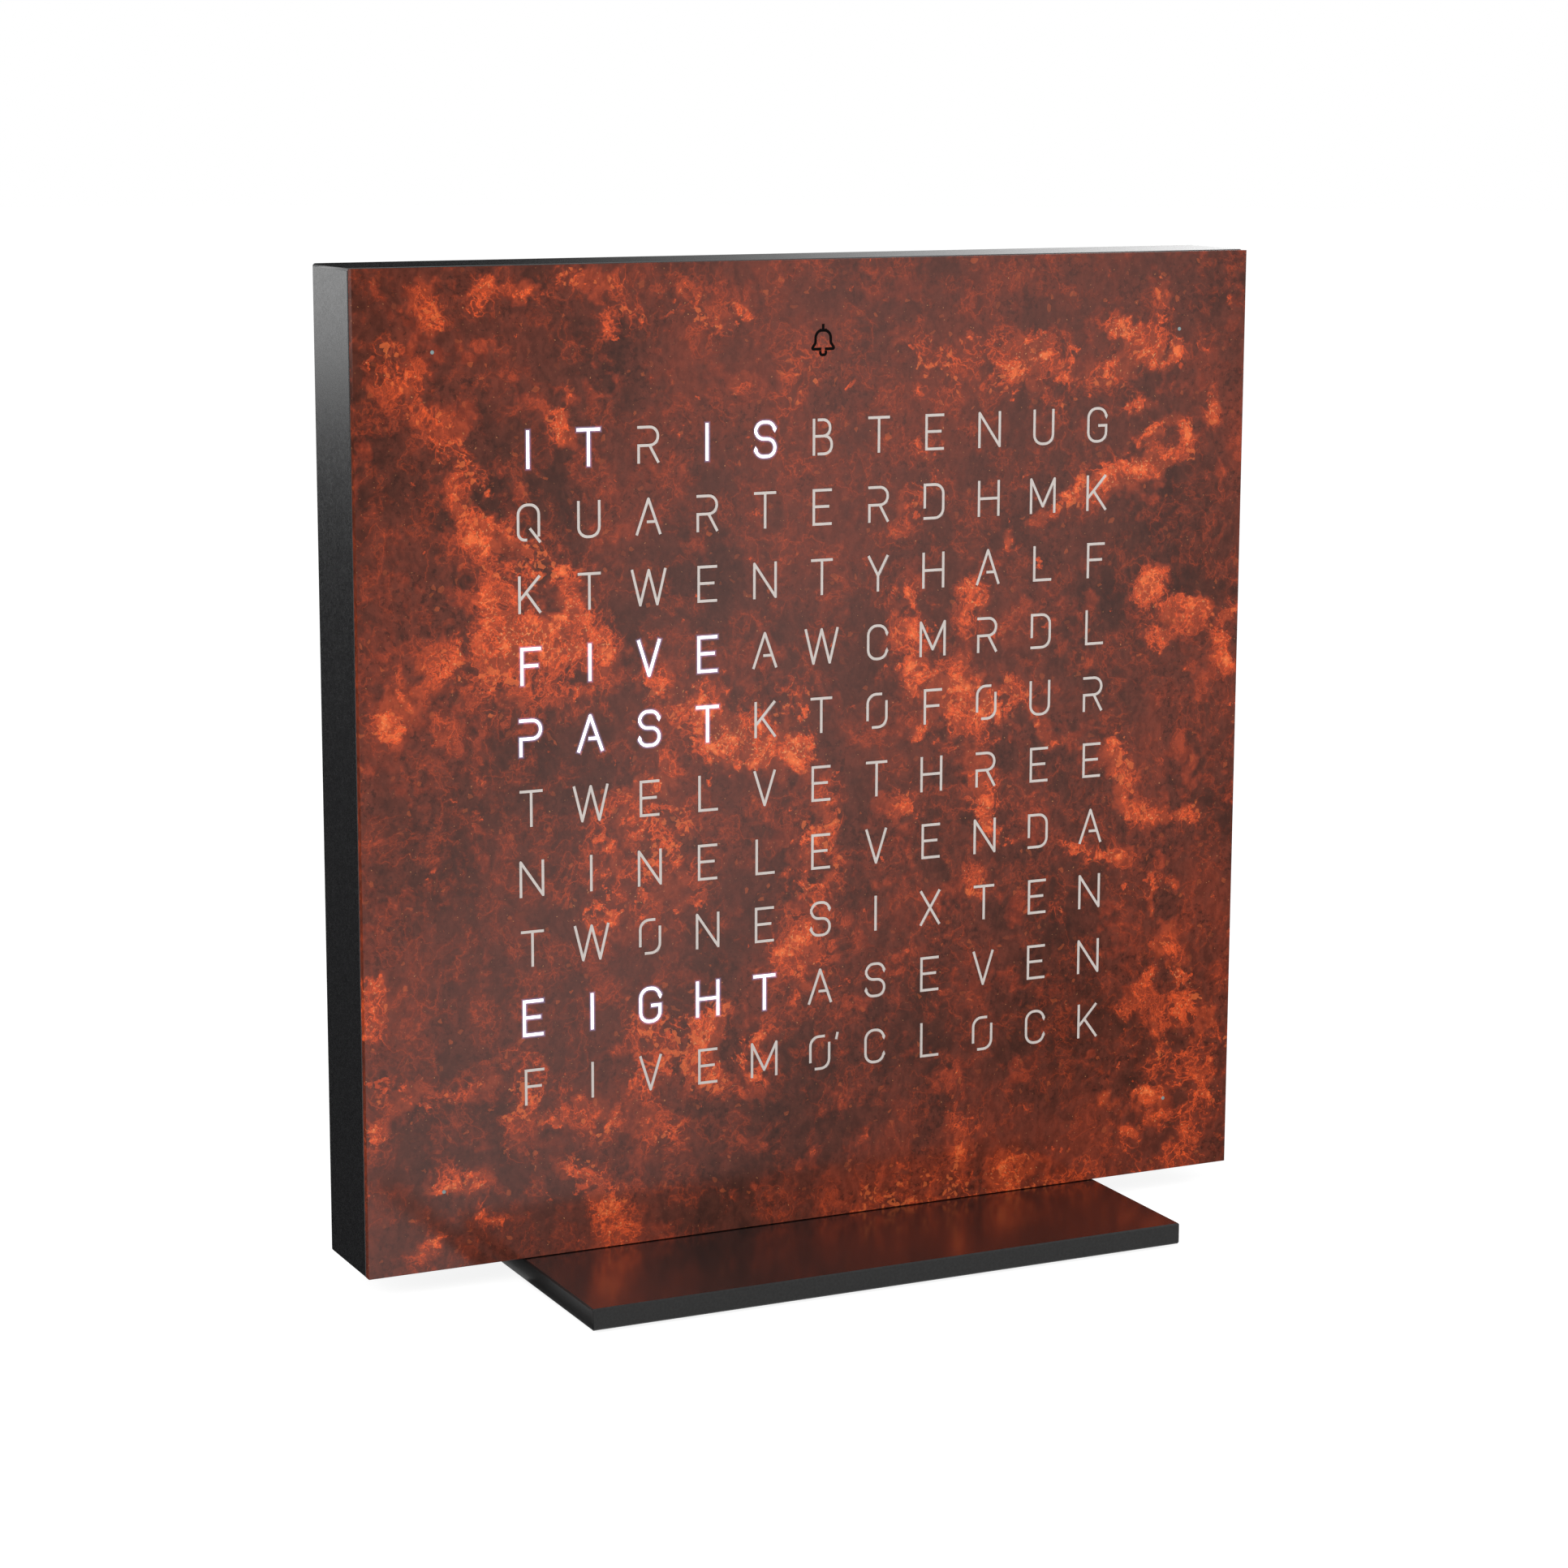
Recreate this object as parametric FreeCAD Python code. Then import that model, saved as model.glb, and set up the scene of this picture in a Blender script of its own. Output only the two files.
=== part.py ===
"""Table-top word clock: a square, slim case on a flat steel stand.

The clock is a stack of flat layers. From the front to the rear they are a loose steel face held by
magnets, an opal sheet on its back, a moulded light grid with one cell for each letter, a circuit board
with one LED in each cell, and a rear panel with the push buttons and the sound slots. A shallow metal
frame goes round the stack. The rear panel's posts press the board and the light grid forward, until the
grid's ears rest against the frame's magnet blocks. Two screws hold the frame down on the stand.

Row frame, in millimetres: X to the right of someone who reads the clock, Y from the face to the rear,
Z up. The origin is the centre of the stand's underside. The openings of the letters are not cut here.
"""
import FreeCAD
import Part

import math
import os

Vector = FreeCAD.Vector

# ---------------------------------------------------------------- driving sizes, case and face
face_size = 135.0            # outer width and height of the square case
case_depth = 15.0            # from the front of the face to the rear of the case
case_corner_radius = 0.4     # rounding of the four long edges of the case
cover_thickness = 1.25       # sheet steel face
cover_inset = 0.1            # the face is this much smaller than the case on each side
frame_wall = 2.5             # wall of the metal frame
panel_thickness = 1.5        # rear panel
panel_gap = 0.15             # play between the rear panel and the frame
panel_post_spacing = 72.0    # cross-shaped posts that press the board forward, along Z
panel_post_span = 6.0
panel_rib_thickness = 1.2
panel_rib_height = 2.0

# ---------------------------------------------------------------- driving sizes, optical stack
column_count = 11
row_count = 10
column_pitch = 8.66          # from letter to letter along X
row_pitch = 9.63             # from letter to letter along Z
cell_wall = 0.8              # wall between two light cells
diffuser_thickness = 0.5
diffuser_gap = 0.15          # air between the opal sheet and the light grid
grid_web = 1.2               # front web of the light grid's border
grid_rim = 1.2               # outer wall of the light grid
module_play = 0.5            # play round opal sheet, light grid and board
dot_inset = 11.0             # minute dots, from the edges of the face
dot_hole_diameter = 0.7      # hole in the face for a minute dot
dot_channel_size = 2.6       # square light channel behind it
dot_channel_wall = 1.0
bell_cell_width = 8.0        # light cell behind the alarm sign
bell_cell_height = 4.8
rib_thickness = 0.8
rib_count = 4                # ribs across the hollow border, each way
rib_spacing = 30.0

# ---------------------------------------------------------------- driving sizes, electronics
board_thickness = 1.6
component_space = 4.9        # from the board to the rear panel
letter_led_size = (2.8, 0.8, 3.5)
small_led_size = (1.6, 0.6, 0.8)
sensor_size = (2.0, 0.7, 1.2)
sensor_offset = 2.2          # light sensor and bell LED, from the middle of the bell cell
processor_size = (10.0, 1.4, 10.0)
processor_chamfer = 0.5
driver_size = (5.3, 1.6, 8.2)
driver_offset = (24.0, 16.0)
crystal_diameter = 2.0
crystal_length = 6.0
crystal_place = (12.0, -1.5)
coil_size = (6.0, 3.0, 6.0)
coil_chamfer = 0.9
coil_place = (-6.0, -30.0)
capacitor_size = (7.3, 2.9, 4.3)
capacitor_places = ((5.0, -33.0), (5.0, -27.0))
cell_diameter = 20.0         # coin cell that keeps the time
cell_thickness = 3.2
holder_wall = 1.2
holder_floor = 0.6
cell_place = (34.0, 0.0)
cell_contact_width = 4.0
cell_contact_sheet = 0.2
cell_side_gap = 0.2
sounder_width = 12.0
sounder_height = 4.0
sounder_mouth_diameter = 2.4
sounder_place = (-30.0, -42.0)
sound_slot_count = 5
sound_slot_width = 1.1
sound_slot_pitch = 2.0
sound_slot_margin = 0.2      # inside the foam ring
sound_ring_wall = 1.5
peg_size = 2.0               # square pegs that place the light grid on the board
peg_play = 0.05
peg_height = 1.2
peg_spacing = 36.0           # along Z
ear_play = 0.2               # grid's ears, from the inner faces of the frame

# ---------------------------------------------------------------- driving sizes, buttons
button_names = ("hour", "minute", "alarm")
button_pitch = 16.0
button_row_height = 40.0     # above the middle of the case
button_diameter = 8.0
button_play = 0.15
button_proud = 0.8
button_flange_wall = 1.0
button_flange_thickness = 0.8
button_dish_depth = 0.3
button_edge = 0.3
button_travel = 0.5
switch_case_size = 6.0
switch_case_height = 3.0
switch_floor = 0.5
plunger_width = 3.4          # square plunger
plunger_play = 0.1
plunger_overtravel = 0.1     # clear of the floor when pressed home

# ---------------------------------------------------------------- driving sizes, power socket
socket_width = 8.94
socket_height = 3.2
socket_shell = 0.3
socket_mouth_recess = 0.2    # mouth of the socket, below the rear of the case
socket_window_play = 0.2
socket_place = (24.0, -48.0)
tongue_width = 6.7
tongue_thickness = 0.7
tongue_chamfer = 0.4
tongue_recess = 0.8          # tip of the tongue, below the mouth
socket_plug_depth = 4.6      # depth of the socket's hollow

# ---------------------------------------------------------------- driving sizes, touch contact
touch_sheet = 0.3
touch_width = 4.0
touch_foot = 4.0
touch_rise = 2.0
touch_to_ledge = 6.0         # from the end of the frame's upper ledge

# ---------------------------------------------------------------- driving sizes, fasteners
clearance_hole_play = 0.15
panel_screw_diameter = 2.5
panel_screw_head_diameter = 4.6
panel_screw_length = 6.0
post_radius = 3.5
post_inset = 4.0             # axis of a corner post, from the inner faces of the frame
thread_run_out = 1.0         # hole left below a screw's tip
recess_across_flats = 1.5
recess_depth = 0.9
magnet_size = (4.0, 2.0, 15.0)
magnet_play = 0.05
magnet_block_skin = 0.5      # block left between the magnet and the light grid's side
magnet_block_margin = 1.5
magnet_height = 32.0         # above and below the middle of the case
ledge_length = 24.0
ledge_reach = 2.0
ledge_depth = 3.0

# ---------------------------------------------------------------- driving sizes, stand
stand_width = 90.0
stand_thickness = 3.0
stand_front = 24.0           # how far the stand reaches in front of the face
stand_rear = 24.0            # and behind the case
stand_edge = 0.2             # chamfer of the stand's edges
pad_thickness = 0.5
pad_margin = 3.0
pad_radius = 3.0
stand_screw_diameter = 3.0
stand_screw_head_diameter = 5.6
stand_screw_length = 8.0
stand_screw_spacing = 60.0
stand_boss_width = 8.0       # square boss in the frame for a stand screw
stand_boss_cap = 1.0         # closed end of the boss above the screw hole

# ---------------------------------------------------------------- levels along Y and Z
stand_depth = stand_front + case_depth + stand_rear
y_face = stand_front - stand_depth / 2
y_rim = y_face + cover_thickness
y_diffuser_back = y_rim + diffuser_thickness
y_grid = y_diffuser_back + diffuser_gap
y_rear = y_face + case_depth
y_panel = y_rear - panel_thickness
y_board_back = y_panel - component_space
y_board = y_board_back - board_thickness
y_middle = (y_rim + y_rear) / 2

z_stand = pad_thickness
z_case = z_stand + stand_thickness
z_middle = z_case + face_size / 2

# ---------------------------------------------------------------- half sizes across the face
case_half = face_size / 2
inner_half = case_half - frame_wall
post_offset = inner_half - post_inset
magnet_block_reach = magnet_size[0] + 2 * magnet_play + magnet_block_skin
stand_boss_top = z_stand + stand_screw_length + thread_run_out + stand_boss_cap
stand_boss_reach = stand_boss_top - z_case - frame_wall
module_half = inner_half - max(magnet_block_reach, stand_boss_reach) - module_play
module_chamfer = 2 * (module_half - post_offset) + math.sqrt(2) * (post_radius + module_play)
letters_half_x = column_count * column_pitch / 2
letters_half_z = row_count * row_pitch / 2
block_half_x = letters_half_x + cell_wall / 2
block_half_z = letters_half_z + cell_wall / 2
dot_offset = case_half - dot_inset
bell_height = dot_offset
border_middle = (block_half_x + module_half) / 2
panel_half = inner_half - panel_gap
switch_top = y_board_back + switch_case_height
flange_level = y_panel - button_flange_thickness
socket_mouth = y_rear - socket_mouth_recess
magnet_centre = inner_half - magnet_play - magnet_size[0] / 2
magnet_block_back = y_rim + magnet_size[1] + magnet_play + magnet_block_margin
magnet_block_half = magnet_size[2] / 2 + magnet_play + magnet_block_margin


# ---------------------------------------------------------------- helpers
def box(x0, x1, y0, y1, z0, z1):
    """Box between two corners, with heights above the stand's underside."""
    return Part.makeBox(x1 - x0, y1 - y0, z1 - z0, Vector(x0, y0, z0))


def block(x, z, half_x, half_z, y0, y1):
    """Box centred on (x, z) of the face, with z counted from the middle of the case."""
    return box(x - half_x, x + half_x, y0, y1, z_middle + z - half_z, z_middle + z + half_z)


def rod(x, z, diameter, y0, y1):
    """Round bar along Y, centred on (x, z) of the face."""
    return Part.makeCylinder(diameter / 2, y1 - y0, Vector(x, y0, z_middle + z), Vector(0, 1, 0))


def upright(x, y, diameter, z0, z1):
    """Round bar along Z."""
    return Part.makeCylinder(diameter / 2, z1 - z0, Vector(x, y, z0), Vector(0, 0, 1))


def edges_along(shape, axis):
    """The straight edges of a shape that run along one axis."""
    found = []
    for edge in shape.Edges:
        if not isinstance(edge.Curve, Part.Line):
            continue
        run = edge.Vertexes[-1].Point - edge.Vertexes[0].Point
        if run.Length > 0 and abs(abs(run.normalize().dot(axis)) - 1) < 1e-6:
            found.append(edge)
    return found


def slab(half_x, half_z, y0, y1, radius=0.0):
    """Upright plate centred on the face, with rounded corners."""
    plate = block(0, 0, half_x, half_z, y0, y1)
    if radius > 0:
        plate = plate.makeFillet(radius, edges_along(plate, Vector(0, 1, 0)))
    return plate


def cut_corner_slab(half, chamfer, y0, y1):
    """Upright square plate centred on the face, with cut corners."""
    plate = block(0, 0, half, half, y0, y1)
    return plate.makeChamfer(chamfer, edges_along(plate, Vector(0, 1, 0)))


def hex_prism(across_flats, length):
    """Hexagonal bar from the origin along +Z."""
    radius = across_flats / math.sqrt(3)
    corners = [Vector(radius * math.cos(math.radians(60 * k)), radius * math.sin(math.radians(60 * k)), 0)
               for k in range(7)]
    return Part.Face(Part.makePolygon(corners)).extrude(Vector(0, 0, length))


def countersunk_screw(diameter, head_diameter, length, across_flats):
    """Screw with its flat head face at the origin and its shank along +Z."""
    cone_height = (head_diameter - diameter) / 2
    head = Part.makeCone(head_diameter / 2, diameter / 2, cone_height)
    shank = Part.makeCylinder(diameter / 2, length - cone_height, Vector(0, 0, cone_height))
    return head.fuse(shank).removeSplitter().cut(hex_prism(across_flats, recess_depth))


def pointing_forward(shape, x, y, z):
    """Turns a shape made along +Z so that it points along -Y and puts it on the face."""
    turned = shape.copy()
    turned.rotate(Vector(0, 0, 0), Vector(1, 0, 0), 90)
    turned.translate(Vector(x, y, z_middle + z))
    return turned


def mirrored_places(x, z):
    """The four corners of a rectangle round the middle of the face."""
    return [(sx * x, sz * z) for sx in (-1, 1) for sz in (-1, 1)]


def letter_places():
    """Middle of each letter cell, row by row from the top."""
    places = []
    for row in range(row_count):
        for column in range(column_count):
            places.append(((column - (column_count - 1) / 2) * column_pitch,
                           ((row_count - 1) / 2 - row) * row_pitch))
    return places


def button_places():
    """Middle of each button on the rear."""
    first = -(len(button_names) - 1) / 2 * button_pitch
    return [(first + k * button_pitch, button_row_height) for k in range(len(button_names))]


panel_post_places = mirrored_places(border_middle, panel_post_spacing / 2)
peg_places = [(-border_middle, peg_spacing / 2), (border_middle, -peg_spacing / 2)]
dot_places = mirrored_places(dot_offset, dot_offset)
post_places = mirrored_places(post_offset, post_offset)
magnet_places = mirrored_places(magnet_centre, magnet_height)
stand_screw_xs = (-stand_screw_spacing / 2, stand_screw_spacing / 2)


# ---------------------------------------------------------------- face
def front_cover():
    """Loose steel face with a small hole for each of the four minute dots."""
    plate = slab(case_half - cover_inset, case_half - cover_inset, y_face, y_rim, case_corner_radius)
    for x, z in dot_places:
        plate = plate.cut(rod(x, z, dot_hole_diameter, y_face, y_rim))
    return plate


def letter_diffuser():
    """Opal sheet bonded to the back of the face."""
    return cut_corner_slab(module_half, module_chamfer, y_rim, y_diffuser_back)


# ---------------------------------------------------------------- frame
def corner_post(x, z):
    """Post in a corner of the frame, joined to both walls, with its inner corner cut, for a rear panel screw."""
    half = (post_radius + post_inset + frame_wall / 2) / 2
    outward = half - post_radius
    middle_x, middle_z = x + math.copysign(outward, x), z + math.copysign(outward, z)
    post = block(middle_x, middle_z, half, half, y_rim, y_panel)
    inner = min(edges_along(post, Vector(0, 1, 0)), key=lambda edge: abs(edge.CenterOfMass.x)
                + abs(edge.CenterOfMass.z - z_middle))
    return post.makeChamfer((2 - math.sqrt(2)) * post_radius, [inner])


def magnet_block(x, z):
    """Block behind the front rim that holds one bar magnet."""
    inner_edge = inner_half - magnet_block_reach
    outer_edge = inner_half + frame_wall / 2
    middle = math.copysign((inner_edge + outer_edge) / 2, x)
    return block(middle, z, (outer_edge - inner_edge) / 2, magnet_block_half, y_rim, magnet_block_back)


def panel_ledges():
    """A short sloped ledge in the middle of each wall, which backs the rear panel's edge."""
    root = inner_half + frame_wall / 2
    edge = inner_half - ledge_reach
    points = [(root, y_panel), (edge, y_panel), (edge, y_panel - ledge_depth / 3),
              (inner_half, y_panel - ledge_depth), (root, y_panel - ledge_depth), (root, y_panel)]
    profile = Part.Face(Part.makePolygon([Vector(x, y, 0) for x, y in points]))
    ledge = profile.extrude(Vector(0, 0, ledge_length))
    ledge.translate(Vector(0, 0, z_middle - ledge_length / 2))
    ledges = []
    for quarter in range(4):
        turned = ledge.copy()
        turned.rotate(Vector(0, 0, z_middle), Vector(0, 1, 0), 90 * quarter)
        ledges.append(turned)
    return ledges


def housing_frame():
    """Metal frame round the stack, with posts, magnet blocks, ledges and the stand's screw bosses."""
    outer = slab(case_half, case_half, y_rim, y_rear, case_corner_radius)
    frame = outer.cut(block(0, 0, inner_half, inner_half, y_rim, y_rear))
    added = [corner_post(x, z) for x, z in post_places]
    added += [magnet_block(x, z) for x, z in magnet_places]
    added += panel_ledges()
    boss_half = stand_boss_width / 2
    for x in stand_screw_xs:
        added.append(box(x - boss_half, x + boss_half, y_middle - boss_half, y_middle + boss_half,
                         z_case + frame_wall / 2, stand_boss_top))
    frame = frame.fuse(added)
    drilled = []
    for x, z in post_places:
        depth = panel_screw_length - panel_thickness + thread_run_out
        drilled.append(rod(x, z, panel_screw_diameter, y_panel - depth, y_panel))
    for x, z in magnet_places:
        half_x = magnet_size[0] / 2 + magnet_play
        half_z = magnet_size[2] / 2 + magnet_play
        drilled.append(block(x, z, half_x, half_z, y_rim, y_rim + magnet_size[1] + magnet_play))
    for x in stand_screw_xs:
        drilled.append(upright(x, y_middle, stand_screw_diameter, z_case, stand_boss_top - stand_boss_cap))
    return frame.cut(drilled).removeSplitter()


def housing_magnets():
    """Four bar magnets, flush with the frame's front rim."""
    width, depth, height = magnet_size
    bars = [block(x, z, width / 2, height / 2, y_rim, y_rim + depth) for x, z in magnet_places]
    return Part.makeCompound(bars)


# ---------------------------------------------------------------- light grid
def grid_border_stays():
    """What stays standing in the hollow border of the light grid: ribs, light channels and pegs."""
    y0, y1 = y_grid, y_board
    stays = []
    for k in range(rib_count):
        place = (k - (rib_count - 1) / 2) * rib_spacing
        stays.append(block(0, place, module_half, rib_thickness / 2, y0, y1))
        stays.append(block(place, 0, rib_thickness / 2, module_half, y0, y1))
    dot_half = dot_channel_size / 2 + dot_channel_wall
    stays += [block(x, z, dot_half, dot_half, y0, y1) for x, z in dot_places]
    peg_half = peg_size / 2 + rib_thickness
    stays += [block(x, z, peg_half, peg_half, y0, y1) for x, z in peg_places]
    bell_half_x = bell_cell_width / 2 + rib_thickness
    bell_half_z = bell_cell_height / 2 + rib_thickness
    stays.append(block(0, bell_height, bell_half_x, bell_half_z, y0, y1))
    return stays


def grid_ears():
    """Ears on the sides of the light grid that rest against the rear of the magnet blocks."""
    inner_edge = module_half - grid_rim / 2
    outer_edge = inner_half - ear_play
    half_x = (outer_edge - inner_edge) / 2
    middle = (outer_edge + inner_edge) / 2
    return [block(math.copysign(middle, x), z, half_x, magnet_size[2] / 2, magnet_block_back, y_board)
            for x, z in magnet_places]


def light_grid():
    """Moulded egg-crate that keeps the light of each LED behind its own letter."""
    grid = cut_corner_slab(module_half, module_chamfer, y_grid, y_board)
    hollow_half = module_half - grid_rim
    hollow_chamfer = module_chamfer - (2 - math.sqrt(2)) * grid_rim
    hollow = cut_corner_slab(hollow_half, hollow_chamfer, y_grid + grid_web, y_board)
    hollow = hollow.cut(block(0, 0, block_half_x, block_half_z, y_grid, y_board))
    hollow = hollow.cut(grid_border_stays())
    grid = grid.cut(hollow)
    half_x = (column_pitch - cell_wall) / 2
    half_z = (row_pitch - cell_wall) / 2
    cells = [block(x, z, half_x, half_z, y_grid, y_board) for x, z in letter_places()]
    cells.append(block(0, bell_height, bell_cell_width / 2, bell_cell_height / 2, y_grid, y_board))
    dot_half = dot_channel_size / 2
    cells += [block(x, z, dot_half, dot_half, y_grid, y_board) for x, z in dot_places]
    grid = grid.cut(Part.makeCompound(cells))
    peg_half = peg_size / 2
    for x, z in peg_places:
        grid = grid.fuse(block(x, z, peg_half, peg_half, y_board - rib_thickness, y_board + peg_height))
    return grid.fuse(grid_ears()).removeSplitter()


# ---------------------------------------------------------------- board and what sits on it
def led_board():
    """Circuit board that fills the case behind the light grid."""
    board = cut_corner_slab(module_half, module_chamfer, y_board, y_board_back)
    peg_hole = peg_size / 2 + peg_play
    holes = [block(x, z, peg_hole, peg_hole, y_board, y_board_back) for x, z in peg_places]
    return board.cut(holes)


def on_front(x, z, size):
    """Part of the given size (X, Y, Z) on the front of the board."""
    return block(x, z, size[0] / 2, size[2] / 2, y_board - size[1], y_board)


def on_rear(x, z, size):
    """Part of the given size (X, Y, Z) on the rear of the board."""
    return block(x, z, size[0] / 2, size[2] / 2, y_board_back, y_board_back + size[1])


def letter_leds():
    """One LED behind each letter."""
    return Part.makeCompound([on_front(x, z, letter_led_size) for x, z in letter_places()])


def minute_leds():
    """One small LED behind each minute dot."""
    return Part.makeCompound([on_front(x, z, small_led_size) for x, z in dot_places])


def bell_led():
    """Small LED behind the alarm sign."""
    return on_front(-sensor_offset, bell_height, small_led_size)


def light_sensor():
    """Sensor that dims the letters in the dark."""
    return on_front(sensor_offset, bell_height, sensor_size)


def processor():
    """Clock processor, a flat square chip with cut corners."""
    chip = on_rear(0, 0, processor_size)
    return chip.makeChamfer(processor_chamfer, edges_along(chip, Vector(0, 1, 0)))


def led_drivers():
    """Four driver chips round the processor."""
    places = mirrored_places(driver_offset[0] / 2, driver_offset[1] / 2 + processor_size[2] / 2)
    return Part.makeCompound([on_rear(x, z, driver_size) for x, z in places])


def clock_crystal():
    """Watch crystal in a round can that lies on the board."""
    x, z = crystal_place
    start = Vector(x, y_board_back + crystal_diameter / 2, z_middle + z - crystal_length / 2)
    return Part.makeCylinder(crystal_diameter / 2, crystal_length, start, Vector(0, 0, 1))


def power_coil():
    """Shielded coil of the supply, a square block with cut corners."""
    coil = on_rear(coil_place[0], coil_place[1], coil_size)
    return coil.makeChamfer(coil_chamfer, edges_along(coil, Vector(0, 1, 0)))


def supply_capacitors():
    """Two moulded chip capacitors."""
    return Part.makeCompound([on_rear(x, z, capacitor_size) for x, z in capacitor_places])


def coin_cell_holder():
    """Square tray with a round pocket for the coin cell, open at the top so that the cell slides out."""
    x, z = cell_place
    pocket = cell_diameter / 2 + cell_side_gap
    outer = pocket + holder_wall
    floor = y_board_back + holder_floor
    top = floor + cell_thickness
    tray = block(x, z, outer, outer, y_board_back, top)
    tray = tray.cut(rod(x, z, 2 * pocket, floor, top))
    return tray.cut(block(x, z + outer / 2, pocket, outer / 2, floor, top))


def coin_cell():
    """Coin cell in its tray."""
    x, z = cell_place
    bottom = y_board_back + holder_floor
    return rod(x, z, cell_diameter, bottom, bottom + cell_thickness)


def coin_cell_contact():
    """Sheet strip bent over the coin cell and down to the board beside the holder."""
    x, z = cell_place
    top = y_board_back + holder_floor + cell_thickness
    outer = cell_diameter / 2 + cell_side_gap + holder_wall
    lead = outer + cell_side_gap
    sheet = cell_contact_sheet
    outline = [Vector(0, top, 0), Vector(lead, top, 0), Vector(lead, y_board_back, 0),
               Vector(lead + sheet, y_board_back, 0), Vector(lead + sheet, top + sheet, 0),
               Vector(0, top + sheet, 0), Vector(0, top, 0)]
    strip = Part.Face(Part.makePolygon(outline)).extrude(Vector(0, 0, cell_contact_width))
    strip.translate(Vector(x, 0, z_middle + z - cell_contact_width / 2))
    return strip


def alarm_sounder():
    """Square sounder behind the sound slots, with its mouth in the middle of its top."""
    x, z = sounder_place
    half = sounder_width / 2
    top = y_board_back + sounder_height
    case = block(x, z, half, half, y_board_back, top)
    return case.cut(rod(x, z, sounder_mouth_diameter, top - sounder_height / 2, top))


def sound_ring():
    """Square foam ring that seals the sounder against the rear panel."""
    x, z = sounder_place
    half = sounder_width / 2
    inner = half - sound_ring_wall
    bottom = y_board_back + sounder_height
    return block(x, z, half, half, bottom, y_panel).cut(block(x, z, inner, inner, bottom, y_panel))


def touch_contact():
    """Leaf spring from the board's top edge to the frame, which is the touch surface."""
    foot_z = module_half - touch_foot
    top_z = inner_half
    y0 = y_board_back
    sheet = touch_sheet
    bend = touch_rise
    points = [(y0, foot_z), (y0, foot_z + touch_foot / 2), (y0 + bend, module_half),
              (y0 + bend, top_z - sheet), (y0 + bend / 2, top_z - sheet), (y0 + bend / 2, top_z),
              (y0 + bend + sheet, top_z), (y0 + bend + sheet, module_half - sheet),
              (y0 + sheet, foot_z + touch_foot / 2 - sheet), (y0 + sheet, foot_z), (y0, foot_z)]
    outline = [Vector(ledge_length / 2 + touch_to_ledge, y, z_middle + z) for y, z in points]
    return Part.Face(Part.makePolygon(outline)).extrude(Vector(touch_width, 0, 0))


# ---------------------------------------------------------------- power socket
def stadium(width, height, y0, y1, x, z):
    """Flat bar along Y with fully rounded sides, centred on (x, z) of the face."""
    radius = height / 2
    core = block(x, z, width / 2 - radius, radius, y0, y1)
    ends = [rod(x + s * (width / 2 - radius), z, height, y0, y1) for s in (-1, 1)]
    return core.fuse(ends).removeSplitter()


def power_socket_shell():
    """Metal shell of the power socket, open to the rear."""
    x, z = socket_place
    shell = stadium(socket_width, socket_height, y_board_back, socket_mouth, x, z)
    hollow = stadium(socket_width - 2 * socket_shell, socket_height - 2 * socket_shell,
                     socket_mouth - socket_plug_depth, socket_mouth, x, z)
    return shell.cut(hollow)


def power_socket_tongue():
    """Flat tongue with the contacts, in the middle of the power socket."""
    x, z = socket_place
    tip = socket_mouth - tongue_recess
    tongue = block(x, z, tongue_width / 2, tongue_thickness / 2, socket_mouth - socket_plug_depth, tip)
    sides = [edge for edge in edges_along(tongue, Vector(0, 0, 1)) if edge.BoundBox.YMin > tip - 1e-6]
    return tongue.makeChamfer(min(tongue_chamfer, tongue_thickness * 0.9), sides)


# ---------------------------------------------------------------- buttons
def switch_cases():
    """Switch cases on the board, each with a square well for its plunger."""
    made = []
    well = plunger_width / 2 + plunger_play
    for x, z in button_places():
        case = on_rear(x, z, (switch_case_size, switch_case_height, switch_case_size))
        made.append(case.cut(block(x, z, well, well, y_board_back + switch_floor, switch_top)))
    return Part.makeCompound(made)


def switch_plunger(x, z):
    """Square plunger of a switch, up to the button."""
    bottom = y_board_back + switch_floor + button_travel + plunger_overtravel
    return block(x, z, plunger_width / 2, plunger_width / 2, bottom, flange_level)


def button_cap(x, z):
    """Round button with a dished top and a square flange that stops it behind the panel."""
    top = y_rear + button_proud
    rim = button_diameter / 2 - button_edge
    barrel = rod(x, z, button_diameter, y_panel, top)
    crown = [edge for edge in barrel.Edges if abs(edge.BoundBox.YMin - top) < 1e-6]
    barrel = barrel.makeChamfer(button_edge, crown)
    ball_radius = (rim ** 2 + button_dish_depth ** 2) / (2 * button_dish_depth)
    ball_centre = Vector(x, top - button_dish_depth + ball_radius, z_middle + z)
    barrel = barrel.cut(Part.makeSphere(ball_radius, ball_centre))
    flange_half = button_diameter / 2 + button_flange_wall
    flange = block(x, z, flange_half, flange_half, flange_level, y_panel)
    return barrel.fuse(flange).removeSplitter()


# ---------------------------------------------------------------- rear panel
def sound_slots():
    """Parallel slots in front of the sounder, whose ends follow a circle inside the foam ring."""
    x, z = sounder_place
    radius = sounder_width / 2 - sound_ring_wall - sound_slot_margin
    slots = []
    for k in range(sound_slot_count):
        offset = (k - (sound_slot_count - 1) / 2) * sound_slot_pitch
        half_length = math.sqrt(max(radius ** 2 - offset ** 2, sound_slot_width ** 2))
        slots.append(block(x, z + offset, half_length, sound_slot_width / 2, y_panel, y_rear))
    return slots


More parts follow.
